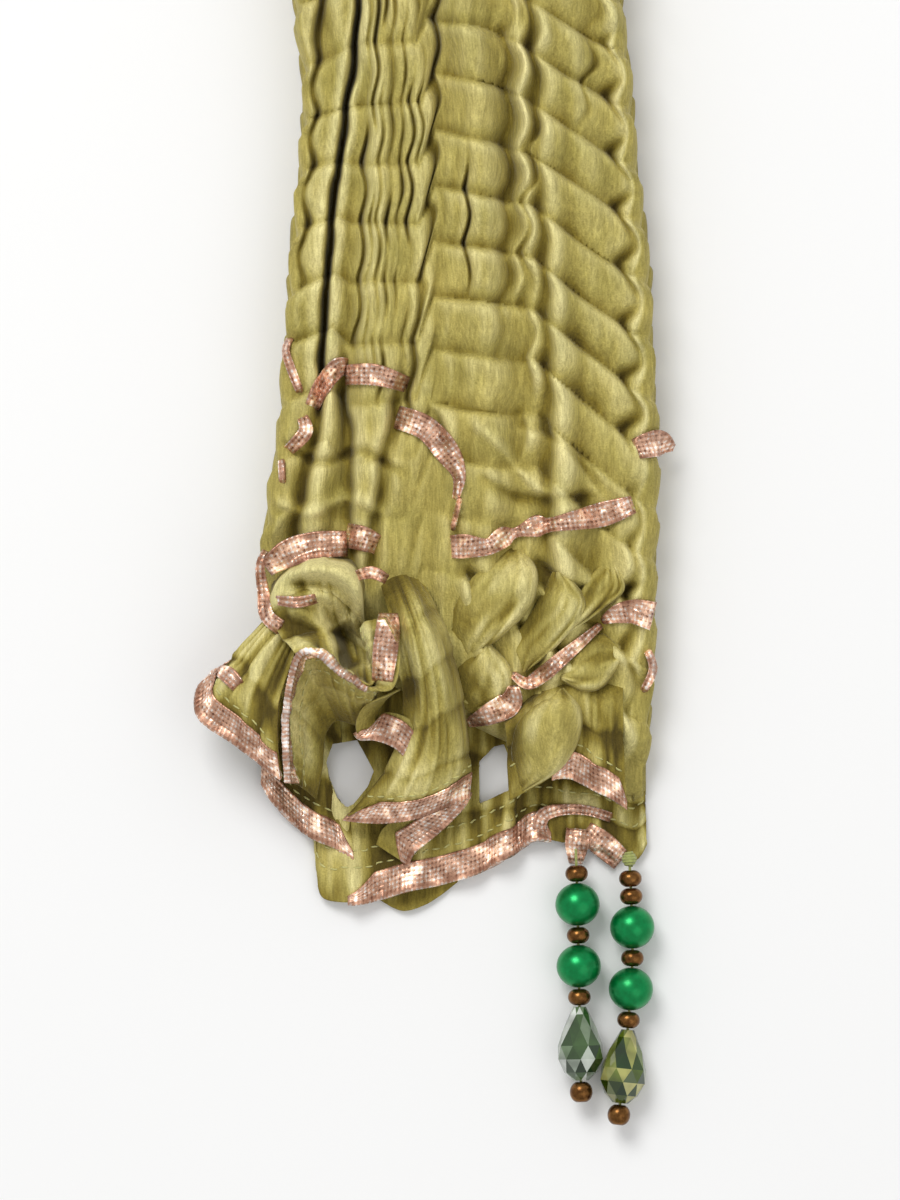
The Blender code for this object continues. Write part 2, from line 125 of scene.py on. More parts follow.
def lengthsAlong(line):         # how far along a line each of its points is
    return np.concatenate([[0.0], np.cumsum(np.linalg.norm(np.diff(line, axis=0), axis=1))])


def pointAt(mark, lengths, line):       # the place on a line where its length passes a mark
    return np.array([np.interp(mark, lengths, line[:, axis]) for axis in range(3)])


def gridNormals(grid):
    along = np.gradient(grid, axis=0)
    over = np.gradient(grid, axis=1)
    normals = np.cross(along, over)
    return normals / np.maximum(np.linalg.norm(normals, axis=2, keepdims=True), 1e-9)


def addMesh(name, points, faces, material, smooth=True, paintedShadeAndCord=None, weaving=None):
    mesh = bpy.data.meshes.new(name)
    mesh.from_pydata(toMetres(points).tolist(), [], faces)
    mesh.materials.append(material)
    mesh.polygons.foreach_set("use_smooth", [smooth] * len(mesh.polygons))
    if paintedShadeAndCord is not None:      # painted shade on the cloth: 0 dark in a crease, 1 light on a crest, read by the cloth's colour; on the tape it marks the cord
        shade = mesh.color_attributes.new("paintedShadeAndCord", "FLOAT_COLOR", "POINT")
        shade.data.foreach_set("color", np.repeat(paintedShadeAndCord.ravel(), 4))
    if weaving is not None:     # 1 on a yarn of the tape, 0 between yarns
        shade = mesh.color_attributes.new("weaving", "FLOAT_COLOR", "POINT")
        shade.data.foreach_set("color", np.repeat(weaving.ravel(), 4))
    mesh.update()
    piece = bpy.data.objects.new(name, mesh)
    bpy.context.scene.collection.objects.link(piece)
    return piece


def gridFaces(rows, columns, wrap=False, skip=None):    # wrap joins the last column to the first
    strips = columns if wrap else columns - 1
    i, k = np.meshgrid(np.arange(rows - 1), np.arange(strips), indexing="ij")
    if skip is not None:
        keep = ~skip[i, k]
        i, k = i[keep], k[keep]
    i, k = i.ravel(), k.ravel()
    beside = (k + 1) % columns
    return np.stack([i * columns + k, i * columns + beside,
                     (i + 1) * columns + beside, (i + 1) * columns + k], 1).tolist()


def thicken(piece, thick):      # half of it goes to each side of the faces
    solid = piece.modifiers.new("thickness", "SOLIDIFY")
    solid.thickness = thick * 0.001
    solid.offset = 0.0


def turnOut(piece):             # every face of a closed piece points out
    bpy.context.view_layer.objects.active = piece
    piece.select_set(True)
    bpy.ops.object.mode_set(mode="EDIT")
    bpy.ops.mesh.select_all(action="SELECT")
    bpy.ops.mesh.normals_make_consistent(inside=False)
    bpy.ops.object.mode_set(mode="OBJECT")
    piece.select_set(False)


def settle(piece, nodes):     # rides with the stole and stands for its solids
    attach(piece, "root")
    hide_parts(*nodes)


# Studio: camera straight above the beaded end, pale table, soft light from the top of the picture

studio = {
    "frameMiddle": (0.0026, -0.3267),   # metres on the table
    "frameHeight": 0.216,
    "cameraHeight": 2.4,
    "tableSize": 6.0,
    "tableColour": (0.90, 0.90, 0.895),
    "keyPlace": (-0.45, 0.55, 1.25),
    "keySize": 0.7,
    "keyPower": 13.0,
    "fillPlace": (0.8, -0.9, 1.3),
    "fillSize": 1.2,
    "fillPower": 3.0,
    "skyStrength": 0.62,
}


def aimAt(item, target):
    item.rotation_euler = (Vector(target) - item.location).to_track_quat("-Z", "Y").to_euler()


def addLight(name, place, size, power, target):
    lamp = bpy.data.lights.new(name, "AREA")
    lamp.size = size
    lamp.energy = power
    item = bpy.data.objects.new(name, lamp)
    item.location = place
    bpy.context.scene.collection.objects.link(item)
    aimAt(item, target)


def setStudio():
    scene = bpy.context.scene
    x, y = studio["frameMiddle"]
    lens = bpy.data.cameras.new("camera")
    lens.sensor_fit = "VERTICAL"
    lens.angle = 2.0 * math.atan(studio["frameHeight"] / 2.0 / studio["cameraHeight"])
    lens.clip_start = 0.05
    camera = bpy.data.objects.new("camera", lens)
    camera.location = (x, y, studio["cameraHeight"])
    scene.collection.objects.link(camera)
    scene.camera = camera
    addLight("keyLight", studio["keyPlace"], studio["keySize"], studio["keyPower"], (x, y, 0.0))
    addLight("fillLight", studio["fillPlace"], studio["fillSize"], studio["fillPower"], (x, y, 0.0))
    world = bpy.data.worlds.new("paleStudio")
    world.use_nodes = True
    sky = world.node_tree.nodes["Background"]
    sky.inputs["Color"].default_value = (1.0, 1.0, 1.0, 1.0)
    sky.inputs["Strength"].default_value = studio["skyStrength"]
    scene.world = world
    scene.view_settings.view_transform = "Standard"

    half = studio["tableSize"] / 2.0
    mesh = bpy.data.meshes.new("table")
    mesh.from_pydata([(-half, -half, 0), (half, -half, 0), (half, half, 0), (-half, half, 0)],
                     [], [(0, 1, 2, 3)])
    table = bpy.data.objects.new("table", mesh)
    scene.collection.objects.link(table)
    painted = bpy.data.materials.new("paleTable")
    painted.use_nodes = True
    shader = painted.node_tree.nodes["Principled BSDF"]
    shader.inputs["Base Color"].default_value = (*studio["tableColour"], 1.0)
    shader.inputs["Roughness"].default_value = 0.9
    mesh.materials.append(painted)


# Finishes

class Finish:                   # a material and its node links
    def __init__(self, name):
        self.material = bpy.data.materials.new(name)
        self.material.use_nodes = True
        self.tree = self.material.node_tree
        self.shader = self.tree.nodes["Principled BSDF"]

    def add(self, kind, settings=None, **inputs):
        item = self.tree.nodes.new(kind)
        for key, value in (settings or {}).items():
            setattr(item, key, value)
        for key, value in inputs.items():       # an input goes by its name, or as i and its number
            numbered = key[0] == "i" and key[1:].isdigit()
            self.plug(value, item.inputs[int(key[1:]) if numbered else key])
        return item

    def plug(self, value, socket):
        if isinstance(value, bpy.types.NodeSocket):
            self.tree.links.new(value, socket)
        else:
            socket.default_value = value

    def stretched(self, scale):         # the piece's own coordinates, scaled
        place = self.add("ShaderNodeTexCoord")
        return self.add("ShaderNodeMapping", i0=place.outputs["Object"], i3=scale).outputs[0]

    def noise(self, vector, scale, detail=2.0, rough=0.5):
        return self.add("ShaderNodeTexNoise", Vector=vector, Scale=scale, Detail=detail,
                        Roughness=rough).outputs["Fac"]

    def colours(self, factor, stops):
        item = self.add("ShaderNodeValToRGB", Fac=factor)
        band = item.color_ramp
        while len(band.elements) < len(stops):
            band.elements.new(0.5)
        for element, (place, colour) in zip(band.elements, stops):
            element.position = place
            element.color = (*colour, 1.0)
        return item.outputs["Color"]

    def mixed(self, factor, first, second, blend="MIX"):
        item = self.add("ShaderNodeMix", {"data_type": "RGBA", "blend_type": blend},
                        i0=factor, i6=first, i7=second)
        return item.outputs[2]

    def maths(self, operation, first, second):
        return self.add("ShaderNodeMath", {"operation": operation}, i0=first, i1=second).outputs[0]

    def bumped(self, height, strength, distance):
        item = self.add("ShaderNodeBump", Height=height, Strength=strength, Distance=distance)
        return item.outputs["Normal"]

    def finish(self, **sockets):
        for key, value in sockets.items():
            self.plug(value, self.shader.inputs[key.replace("_", " ")])
        return self.material


chiffon = {
    # the first four colours are painted shade and light: darkest in creases, through shade and face, to
    # a painted highlight on crests
    "deep": (0.085, 0.058, 0.006),
    "shade": (0.275, 0.212, 0.036),
    "face": (0.520, 0.442, 0.138),
    "crestHighlight": (0.850, 0.765, 0.385),
    "yarns": 2500.0,            # crepe yarns across a metre
    "slubs": 1100.0,
    "crepe": 3600.0,
    "yarnStretch": 0.14,        # yarns run along y
    "grainDepth": 0.00030,
    "roughness": 0.74,
    "sheen": 0.25,
}


def makeChiffon():
    cloth = Finish("oliveCrinkleChiffon")
    yarnway = cloth.stretched((1.0, chiffon["yarnStretch"], 1.0))
    everyway = cloth.stretched((1.0, 1.0, 1.0))
    yarns = cloth.noise(yarnway, chiffon["yarns"], 2.0, 0.6)
    slubs = cloth.noise(yarnway, chiffon["slubs"], 3.0, 0.6)
    crepe = cloth.noise(everyway, chiffon["crepe"], 2.0, 0.6)
    clouds = cloth.noise(everyway, 95.0, 4.0, 0.6)
    paintedShadeAndCord = cloth.add("ShaderNodeAttribute", {"attribute_name": "paintedShadeAndCord"}).outputs["Fac"]
    # painted shade: the cloth is painted darker in hollows and creases, lighter on raised folds and
    # crests
    base = cloth.colours(paintedShadeAndCord, ((0.0, chiffon["deep"]), (0.30, chiffon["shade"]),
                                  (0.58, chiffon["face"]), (1.0, chiffon["crestHighlight"])))
    grain = cloth.colours(yarns, ((0.30, (0.78, 0.77, 0.72)), (0.70, (1.13, 1.13, 1.12))))
    drawn = cloth.colours(slubs, ((0.32, (0.84, 0.83, 0.78)), (0.70, (1.10, 1.10, 1.08))))
    speck = cloth.colours(crepe, ((0.35, (0.88, 0.88, 0.86)), (0.65, (1.08, 1.08, 1.08))))
    tone = cloth.colours(clouds, ((0.30, (0.87, 0.88, 0.80)), (0.70, (1.08, 1.07, 1.06))))
    colour = cloth.mixed(1.0, base, grain, "MULTIPLY")
    colour = cloth.mixed(1.0, colour, drawn, "MULTIPLY")
    colour = cloth.mixed(1.0, colour, speck, "MULTIPLY")
    colour = cloth.mixed(1.0, colour, tone, "MULTIPLY")
    height = cloth.maths("ADD", cloth.maths("ADD", yarns, slubs), crepe)
    return cloth.finish(Base_Color=colour, Roughness=chiffon["roughness"],
                        Sheen_Weight=chiffon["sheen"], Sheen_Roughness=0.4,
                        Sheen_Tint=(0.98, 0.92, 0.62, 1.0), Specular_IOR_Level=0.22,
                        Normal=cloth.bumped(height, 0.55, chiffon["grainDepth"]))


goldTape = {
    # dull and spark are partly the woven pattern and partly painted light: dull is painted shade
    # between yarns, spark a painted highlight on yarn crowns and glitter flecks
    "dull": (0.20, 0.085, 0.050),
    "gold": (0.78, 0.49, 0.35),
    "sparkHighlight": (1.0, 0.98, 0.95),
    "cord": (0.46, 0.22, 0.14),
    "flecks": 1500.0,           # bright yarns across a metre
    "fleckDepth": 0.00016,      # metres, as all lengths in the finishes
}


def makeTapeFinish():
    foil = Finish("roseGoldTape")
    place = foil.stretched((1.0, 1.0, 1.0))
    weaveShade = foil.add("ShaderNodeAttribute", {"attribute_name": "weaving"}).outputs["Fac"]
    cord = foil.add("ShaderNodeAttribute", {"attribute_name": "paintedShadeAndCord"}).outputs["Fac"]
    cells = foil.add("ShaderNodeTexVoronoi", Vector=place, Scale=goldTape["flecks"])
    fleck = foil.add("ShaderNodeSeparateColor", i0=cells.outputs["Color"]).outputs[0]
    glintPatches = foil.noise(place, 300.0, 2.0, 0.55)
    # woven pattern with glitter, painted darker between yarns and near white on yarn crowns and flecks
    # as a painted highlight
    woven = foil.maths("ADD", foil.maths("MULTIPLY", weaveShade, 0.66),
                       foil.maths("MULTIPLY", fleck, 0.34))
    colour = foil.colours(woven, ((0.16, goldTape["dull"]), (0.42, goldTape["gold"]),
                                  (0.60, goldTape["gold"]), (0.78, goldTape["sparkHighlight"])))
    edging = foil.maths("MULTIPLY", cord, 0.65)     # corded edges are browner
    colour = foil.mixed(edging, colour, (*goldTape["cord"], 1.0))
    # painted highlights and shade: the tape is painted darker in some patches and up to 2.4 times
    # brighter in others, as painted glints
    paintedGlints = foil.colours(glintPatches, ((0.34, (0.52, 0.42, 0.36)), (0.50, (0.84, 0.78, 0.73)),
                               (0.58, (1.15, 1.10, 1.06)), (0.66, (2.4, 2.35, 2.3))))
    rough = foil.add("ShaderNodeMapRange", i0=woven, i1=0.1, i2=0.8, i3=0.48, i4=0.18).outputs[0]
    return foil.finish(Base_Color=foil.mixed(1.0, colour, paintedGlints, "MULTIPLY"), Metallic=0.55,
                       Roughness=rough, Normal=foil.bumped(fleck, 0.6, goldTape["fleckDepth"]))


beadColours = {
    "pearl": (0.0, 0.29, 0.075),
    "pearlDeep": (0.0, 0.19, 0.045),
    "bronze": (0.10, 0.040, 0.010),
    "bronzeWorn": (0.26, 0.12, 0.032),
    # crystal shades, dark to near white: the near-white one is a painted reflection on some facets
    "glassLeft": ((0.008, 0.030, 0.004), (0.07, 0.14, 0.04), (0.66, 0.70, 0.64)),
    "glassRight": ((0.006, 0.034, 0.001), (0.10, 0.15, 0.012), (0.46, 0.44, 0.14)),
    "thread": (0.40, 0.44, 0.12),
    "stitch": (0.66, 0.62, 0.22),
}


def makePearlFinish():
    pearl = Finish("emeraldPearl")
    clouds = pearl.noise(pearl.stretched((1.0, 1.0, 1.0)), 520.0, 3.0, 0.6)
    colour = pearl.colours(clouds, ((0.3, beadColours["pearlDeep"]), (0.7, beadColours["pearl"])))
    return pearl.finish(Base_Color=colour, Metallic=0.7, Roughness=0.33, Coat_Weight=0.12,
                        Coat_Roughness=0.14, Normal=pearl.bumped(clouds, 0.12, 0.0001))


def makeBronzeFinish():
    bronze = Finish("bronzeSeed")
    patches = bronze.noise(bronze.stretched((1.0, 1.0, 1.0)), 900.0, 3.0, 0.6)
    colour = bronze.colours(patches, ((0.35, beadColours["bronze"]), (0.7, beadColours["bronzeWorn"])))
    return bronze.finish(Base_Color=colour, Metallic=0.9, Roughness=0.27,
                         Normal=bronze.bumped(patches, 0.15, 0.0001))


def makeGlassFinish(name, shades):      # each facet is painted its own random shade from its normal, from dark up to a near-white painted reflection
    glass = Finish(name)
    facing = glass.add("ShaderNodeNewGeometry").outputs["True Normal"]
    stepped = glass.add("ShaderNodeVectorMath", {"operation": "SNAP"}, i0=facing,
                        i1=(0.05, 0.05, 0.05)).outputs[0]
    paintedFacetLight = glass.add("ShaderNodeTexWhiteNoise", Vector=stepped).outputs["Value"]
    tint = glass.colours(paintedFacetLight, ((0.10, shades[0]), (0.55, shades[1]), (0.92, shades[2])))
    swirl = glass.noise(glass.stretched((1.0, 1.0, 1.0)), 240.0, 2.0, 0.5)
    cloudy = glass.colours(swirl, ((0.35, (0.62, 0.62, 0.62)), (0.65, (1.25, 1.25, 1.25))))
    return glass.finish(Base_Color=glass.mixed(1.0, tint, cloudy, "MULTIPLY"), Roughness=0.03,
                        IOR=1.6, Transmission_Weight=0.12, Coat_Weight=0.3, Coat_Roughness=0.02,
                        Specular_IOR_Level=0.5)


def makeThreadFinish(name, colour):
    thread = Finish(name)
    twist = thread.noise(thread.stretched((1.0, 3.0, 1.0)), 1500.0, 2.0, 0.6)
    tint = thread.colours(twist, ((0.3, [c * 0.6 for c in colour]), (0.7, colour)))
    return thread.finish(Base_Color=tint, Roughness=0.6, Sheen_Weight=0.3,
                         Normal=thread.bumped(twist, 0.5, 0.0002))


# Gathered run of the stole, from the open end to the crosswise fold

run = {
    "end": 95.0,                # where the left side opens into the hem
    "skew": -34.0,              # how much nearer the tip the right side opens
    "skewStart": 150.0,
    "seams": (215.0, 430.0),    # the near stretch is finer than the far ones
    "noseLength": 5.0,
    "foldRound": 16.0,
    "topColumns": 236,
    "fineColumns": (0.13, 0.70, 1.5),   # from, to, and how much closer the columns are there
    "sideColumns": 16,
    "underColumns": 8,
    "rows": (334, 190, 190),    # rings on the near, middle and far stretch
    "pleatTop": 205.0,          # above here every pleat has the same pitch
    "shadeReach": 2.4,          # how wide and how deep a hollow counts for the cloth's painted shade
    "shadeDepth": 4.4,
    "cornerRound": 3.6,         # how far the open end's right corner is rounded back
    "creaseDepth": 2.3,         # of a cross pleat, from its crown to its crease
    "creaseRise": 0.17,         # share of a pleat over which it rises to its crown
    "stations": (               # y, left edge, right edge, height
        (95.0, -30.5, 38.0, 10.5), (104.0, -31.5, 38.8, 14.0), (112.0, -30.5, 39.8, 16.5),
        (128.0, -28.0, 40.0, 19.0), (150.0, -26.6, 38.8, 21.0), (185.0, -24.0, 35.6, 22.0),
        (202.0, -25.5, 33.6, 22.5), (260.0, -27.5, 31.5, 23.0), (360.0, -29.0, 32.0, 22.0),
        (470.0, -31.5, 30.0, 22.5), (590.0, -30.0, 32.5, 22.0), (700.0, -32.5, 33.5, 21.0),
        (800.0, -34.5, 35.0, 20.0), (842.0, -35.0, 35.5, 18.5)),
    "folds": (                  # across, height share, depth of its cross pleats
        (0.035, 0.66, 1.0), (0.085, 0.60, 0.6), (0.130, 0.76, 1.0), (0.178, 0.66, 0.5),
        (0.225, 0.86, 0.7), (0.290, 0.90, 0.45), (0.350, 0.89, 0.5), (0.408, 0.80, 0.6),
        (0.455, 0.94, 1.0), (0.555, 0.99, 1.0), (0.620, 0.84, 0.6), (0.665, 0.90, 0.8),
        (0.700, 0.78, 0.6), (0.725, 0.95, 1.0), (0.800, 0.84, 1.1), (0.880, 0.70, 0.8),
        (0.945, 0.76, 1.1)),
    "tracks": (                 # across, y of a crease, spacing of the creases there
        (0.035, 191.0, 10.2), (0.130, 192.8, 9.9), (0.175, 194.0, 10.6), (0.360, 194.0, 10.6),
        (0.400, 198.5, 9.8), (0.580, 196.0, 9.8), (0.676, 193.2, 9.35), (0.980, 181.3, 10.1)),
    "sway": (                   # across, how far a pleat swings sideways between its creases
        (0.035, -0.7), (0.16, 0.4), (0.30, 0.35), (0.40, 0.8), (0.50, 0.4), (0.58, 0.7),
        (0.68, 0.9), (0.80, 0.5), (0.945, 1.7)),
    "leaves": (                 # side of the bundle from the top down: inset, height share
        (0.3, 0.56), (0.2, 0.44), (2.2, 0.36), (0.7, 0.28), (2.6, 0.21), (0.1, 0.12)),
}

# Lengthwise troughs (depth below 0) and ridges: y and x of points, depth, reach left and right
lengthFolds = {
    "gap": {"depth": -8.5, "reach": (0.62, 0.5), "points": (
        (128, -20.6), (141, -19.9), (161, -18.6), (169, -17.7), (177.5, -16.7), (186, -15.9),
        (194, -14.6), (202, -14.2), (222, -13.9))},
    "leftPair": {"depth": -3.2, "reach": (0.6, 0.6), "points": (
        (150, -23.6), (162, -22.6), (180, -21.2), (202, -20.1), (225, -20.3))},
    "middleCrease": {"depth": -2.3, "reach": (0.62, 0.42), "points": (
        (124, -5.6), (143, -4.0), (159, -1.9), (180, -1.0), (202, -0.5), (224, -0.3))},
    "slit": {"depth": -2.6, "reach": (0.36, 0.36), "points": (
        (150, 5.7), (158, 5.2), (163.5, 5.5), (168, 5.1), (174, 5.3))},
    "valley": {"depth": -1.6, "reach": (1.2, 0.9), "points": (
        (136, 10.6), (150, 11.4), (175, 12.1), (202, 12.0), (226, 12.0))},
    "thinRidge": {"depth": 1.8, "reach": (0.9, 0.7), "points": (
        (146, 14.0), (158, 14.2), (180, 14.8), (202, 15.0), (222, 15.0))},
    "zigzagRidge": {"depth": 2.6, "reach": (0.45, 2.0), "points": (
        (120, 15.0), (137, 16.6), (147, 16.3), (156, 15.9), (167, 16.1), (172.6, 17.7),
        (176, 17.0), (183, 18.8), (186, 17.6), (197, 17.9), (222, 17.8))},
    "rightSlit": {"depth": -1.2, "reach": (0.45, 0.45), "points": (
        (178, 25.2), (183, 25.6), (190, 26.2), (198, 26.6), (216, 26.8))},
    "rightLobe": {"depth": -2.2, "reach": (1.0, 0.7), "points": (
        (120, 33.4), (140, 33.6), (160, 32.6), (180, 31.0), (202, 29.8), (222, 29.6))},
    "firstRidge": {"depth": -1.9, "reach": (0.35, 0.55), "points": (
        (134, -15.0), (150, -14.0), (170, -13.2), (190, -12.2), (222, -12.0))},
    "secondRidge": {"depth": -2.3, "reach": (0.30, 0.45), "points": (
        (132, -13.2), (150, -12.4), (170, -11.6), (190, -10.9), (222, -10.8))},
    "thirdRidge": {"depth": -2.1, "reach": (0.30, 0.40), "points": (
        (136, -11.6), (155, -10.8), (175, -10.2), (195, -9.4), (222, -9.3))},
    "blockSide": {"depth": -2.4, "reach": (0.40, 0.30), "points": (
        (130, -10.2), (150, -9.2), (172, -8.6), (195, -7.8), (222, -7.8))},
    "blockSlit": {"depth": -1.7, "reach": (0.25, 0.25), "points": (
        (146, -7.6), (160, -7.0), (180, -6.2), (196, -6.0), (210, -6.0))},
    "blockSlitLong": {"depth": -2.2, "reach": (0.28, 0.28), "points": (
        (138, -6.4), (158, -5.4), (176, -4.8), (190, -4.4), (222, -4.4))},
    "blockSlitShort": {"depth": -1.6, "reach": (0.25, 0.25), "points": (
        (160, -3.8), (172, -3.4), (184, -3.2), (196, -3.0))},
    "farGap": {"depth": -5.0, "reach": (0.9, 0.7), "points": (
        (216, -13.9), (300, -15.6), (400, -13.2), (520, -16.4), (640, -14.8), (760, -17.5),
        (836, -18.2))},
    "farMiddle": {"depth": -2.8, "reach": (0.7, 0.5), "points": (
        (216, -0.3), (290, 1.2), (380, -1.4), (470, 0.6))},
    "farLate": {"depth": -3.0, "reach": (0.8, 0.6), "points": (
        (430, 3.2), (540, 5.8), (650, 3.6), (760, 6.2), (832, 5.4))},
    "farFineOne": {"depth": -2.4, "reach": (0.5, 0.5), "points": (
        (214, -9.3), (330, -10.6), (430, -8.4), (520, -10.2))},
    "farFineTwo": {"depth": -2.6, "reach": (0.5, 0.5), "points": (
        (520, -8.0), (610, -9.6), (700, -7.2), (810, -9.8))},
    "farFineThree": {"depth": -2.2, "reach": (0.5, 0.4), "points": (
        (214, -12.0), (290, -12.8), (380, -11.0), (450, -12.4))},
    "farRight": {"depth": -2.8, "reach": (0.7, 0.7), "points": (
        (216, 26.8), (320, 24.2), (420, 26.4), (540, 23.2), (660, 26.8), (812, 27.4))},
    "farInner": {"depth": -2.4, "reach": (0.55, 0.5), "points": (
        (300, 10.4), (400, 13.8), (500, 11.2), (600, 14.6))},
    "farOuter": {"depth": -2.6, "reach": (0.6, 0.5), "points": (
        (590, 18.4), (700, 15.2), (812, 18.8))},
    "lowLeft": {"depth": -3.0, "reach": (1.6, 0.8), "points": (
        (98, -14.6), (108, -15.4), (120, -15.2), (130, -16.4), (138, -17.2))},
    "lowMiddle": {"depth": -3.0, "reach": (0.9, 1.6), "points": (
        (96, -12.0), (105, -11.4), (118, -9.6), (130, -7.2), (137, -6.4))},
    "lowEdge": {"depth": -2.6, "reach": (1.4, 0.8), "points": (
        (98, -24.8), (108, -24.6), (118, -22.6), (130, -20.0), (138, -19.0))},
    "lowShoulder": {"depth": 1.6, "reach": (0.9, 2.4), "points": (
        (90, 5.2), (100, 5.6), (110, 4.4), (118, 4.0), (127, 0.6), (134, -3.0))},
    "lowRight": {"depth": -2.8, "reach": (0.9, 2.0), "points": (
        (72, 12.0), (84, 10.0), (96, 6.8), (104, 4.6))},
    "lowFold": {"depth": -2.0, "reach": (1.0, 1.4), "points": (
        (70, 24.0), (80, 22.0), (92, 20.6), (104, 20.0))},
    "lowSide": {"depth": -2.2, "reach": (0.8, 1.2), "points": (
        (62, 34.0), (76, 34.4), (90, 33.4), (104, 34.6), (116, 35.0))},
}

# Slanting troughs and ridges: x and y of points, depth, reach down and up
slantFolds = (
    {"depth": -1.6, "reach": (1.0, 2.4), "points": ((14, 126), (20, 124), (25, 119.5), (30, 113))},
    {"depth": 1.2, "reach": (1.2, 1.6), "points": ((6, 126), (12, 121), (17, 115), (22, 112))},
    {"depth": -1.5, "reach": (1.4, 0.8), "points": ((8, 116), (14, 113), (20, 112.4), (28, 113))},
    {"depth": -2.0, "reach": (1.0, 1.8), "points": ((5, 99), (10, 96), (15, 90), (18, 84))},
    {"depth": 1.6, "reach": (1.4, 1.4), "points": ((12, 98), (17, 97), (22, 93), (26, 90.5))},
    {"depth": -1.8, "reach": (1.2, 0.8), "points": ((18, 101), (24, 97), (30, 95.5), (36, 97))},
    {"depth": 1.4, "reach": (0.9, 1.8), "points": ((20, 80), (26, 82.5), (31, 84), (36, 83))},
    {"depth": -1.4, "reach": (1.0, 1.0), "points": ((-27, 122), (-20, 119), (-14, 121), (-6, 117))},
    {"depth": 1.3, "reach": (1.0, 1.6), "points": ((-29, 112), (-22, 110), (-16, 112.5), (-9, 110))},
)

# Narrow ridges side by side: x of the first and last, how many, height, and where they fade out
fineRidges = {"left": -13.4, "right": -1.4, "count": 9, "height": 0.30, "low": 128.0}


def pleatPlace(across, y):      # which cross pleat, and how far down it, 0 at its upper crease
    top = run["pleatTop"]
    first = np.interp(across, column(run["tracks"], 0), column(run["tracks"], 1))
    spacing = np.interp(across, column(run["tracks"], 0), column(run["tracks"], 2))
    pleats = (first - top) / spacing + (top - y) / np.where(y < top, spacing, crinklePitch)
    pleats = pleats + 0.13 * softNoise(across * 5.0 + 3.0, y / 19.0)
    number = np.floor(pleats)
    return number, pleats - number


def pleatShape(down):           # steep just under its upper crease, then rounding down
    rise = np.clip(down / run["creaseRise"], 0.0, 1.0)
    fall = np.clip((down - run["creaseRise"]) / (1.0 - run["creaseRise"]), 0.0, 1.0)
    return rise * (2.0 - rise) * (1.0 - fall ** 1.8)


def foldProfile(away, reach):   # reach is how far it goes below and above 0
    wide = np.where(away < 0.0, reach[0], reach[1])
    return np.exp(-(away / wide) ** 2)


def topOfCloth(across, x, y, height):   # sideways shift and height over the table
    drifted = across - 0.006 * np.sin(y / 17.0 + across * 19.0)
    wander = 1.0 + 0.06 * np.sin(y / 31.0 + drifted * 40.0)
    rise = through(column(run["folds"], 0), column(run["folds"], 1), drifted) * wander
    depth = np.interp(drifted, column(run["folds"], 0), column(run["folds"], 2))
    number, down = pleatPlace(across, y)
    shape = pleatShape(down)
    low = 0.35 + 0.65 * ramp(108.0, 130.0, y - 26.0 * np.clip(0.5 - across, 0.0, 0.5))
    low = low + (1.0 - low) * ramp(0.62, 0.8, across) * 0.5
    uneven = 0.95 + 0.4 * softNoise(across * 9.0 + number * 2.7, number * 5.3)
    pleat = run["creaseDepth"] * depth * low * uneven
    z = height * rise - pleat * (1.0 - shape)
    body = np.sin(np.pi * np.clip(down, 0.0, 1.0)) ** 0.5

    # Lengthwise crinkle, coarse and fine, then looser waves at the open end
    z = z + 0.42 * softNoise(x / 2.3 + number * 7.7, y / 14.0) * (0.35 + body)
    z = z + 0.20 * softNoise(x / 0.95 + number * 3.1, y / 9.0 + 50.0) * (0.3 + body)
    z = z + 0.9 * (1.0 - ramp(104.0, 132.0, y)) * softNoise(x / 7.0, y / 8.0 + 9.0)
    swing = np.interp(across, column(run["sway"], 0), column(run["sway"], 1)) * low
    swing = swing * np.sin(np.pi * np.clip(down + 0.04, 0.0, 1.0)) ** 1.4
    shifted = x - swing

    spacing = (fineRidges["right"] - fineRidges["left"]) / fineRidges["count"]
    inside = ramp(fineRidges["left"] - 1.0, fineRidges["left"] + 1.5, shifted)
    inside = inside * (1.0 - ramp(fineRidges["right"] - 0.5, fineRidges["right"] + 1.0, shifted))
    wavy = shifted + 0.35 * softNoise(number * 0.9 + down, shifted / 2.0)
    wavy = wavy + 0.3 * softNoise(y / 6.0, shifted / 3.0)
    ridges = np.abs(np.sin(np.pi * wavy / spacing)) ** 0.7
    ridges = ridges * (0.75 + 0.6 * softNoise(y / 8.0, shifted / 1.7 + 20.0))
    z = z + fineRidges["height"] * inside * ridges * ramp(fineRidges["low"], 150.0, y)

    for fold in lengthFolds.values():
        ys = column(fold["points"], 0)
        middle = np.interp(y, ys, column(fold["points"], 1))
        middle = middle + 0.22 * softNoise(y / 4.3 + ys[0], 0.0 * y + ys[-1])
        fade = ramp(ys[0] - 3.0, ys[0] + 6.0, y) * (1.0 - ramp(ys[-1] - 9.0, ys[-1] + 3.0, y))
        if fold["reach"][0] < 0.6:      # the fine creases come and go
            broken = 0.68 + 0.75 * softNoise(y / 6.5 + ys[0] * 3.0, 0.0 * y + ys[-1])
            fade = fade * np.clip(broken, 0.0, 1.3)
        z = z + fold["depth"] * fade * foldProfile(shifted - middle, fold["reach"])
    for fold in slantFolds:
        xs = column(fold["points"], 0)
        middle = through(xs, column(fold["points"], 1), x)
        fade = ramp(xs[0] - 2.0, xs[0] + 2.5, x) * (1.0 - ramp(xs[-1] - 2.5, xs[-1] + 2.0, x))
        z = z + fold["depth"] * fade * foldProfile(y - middle, fold["reach"])
    return swing, np.maximum(z, 1.2)


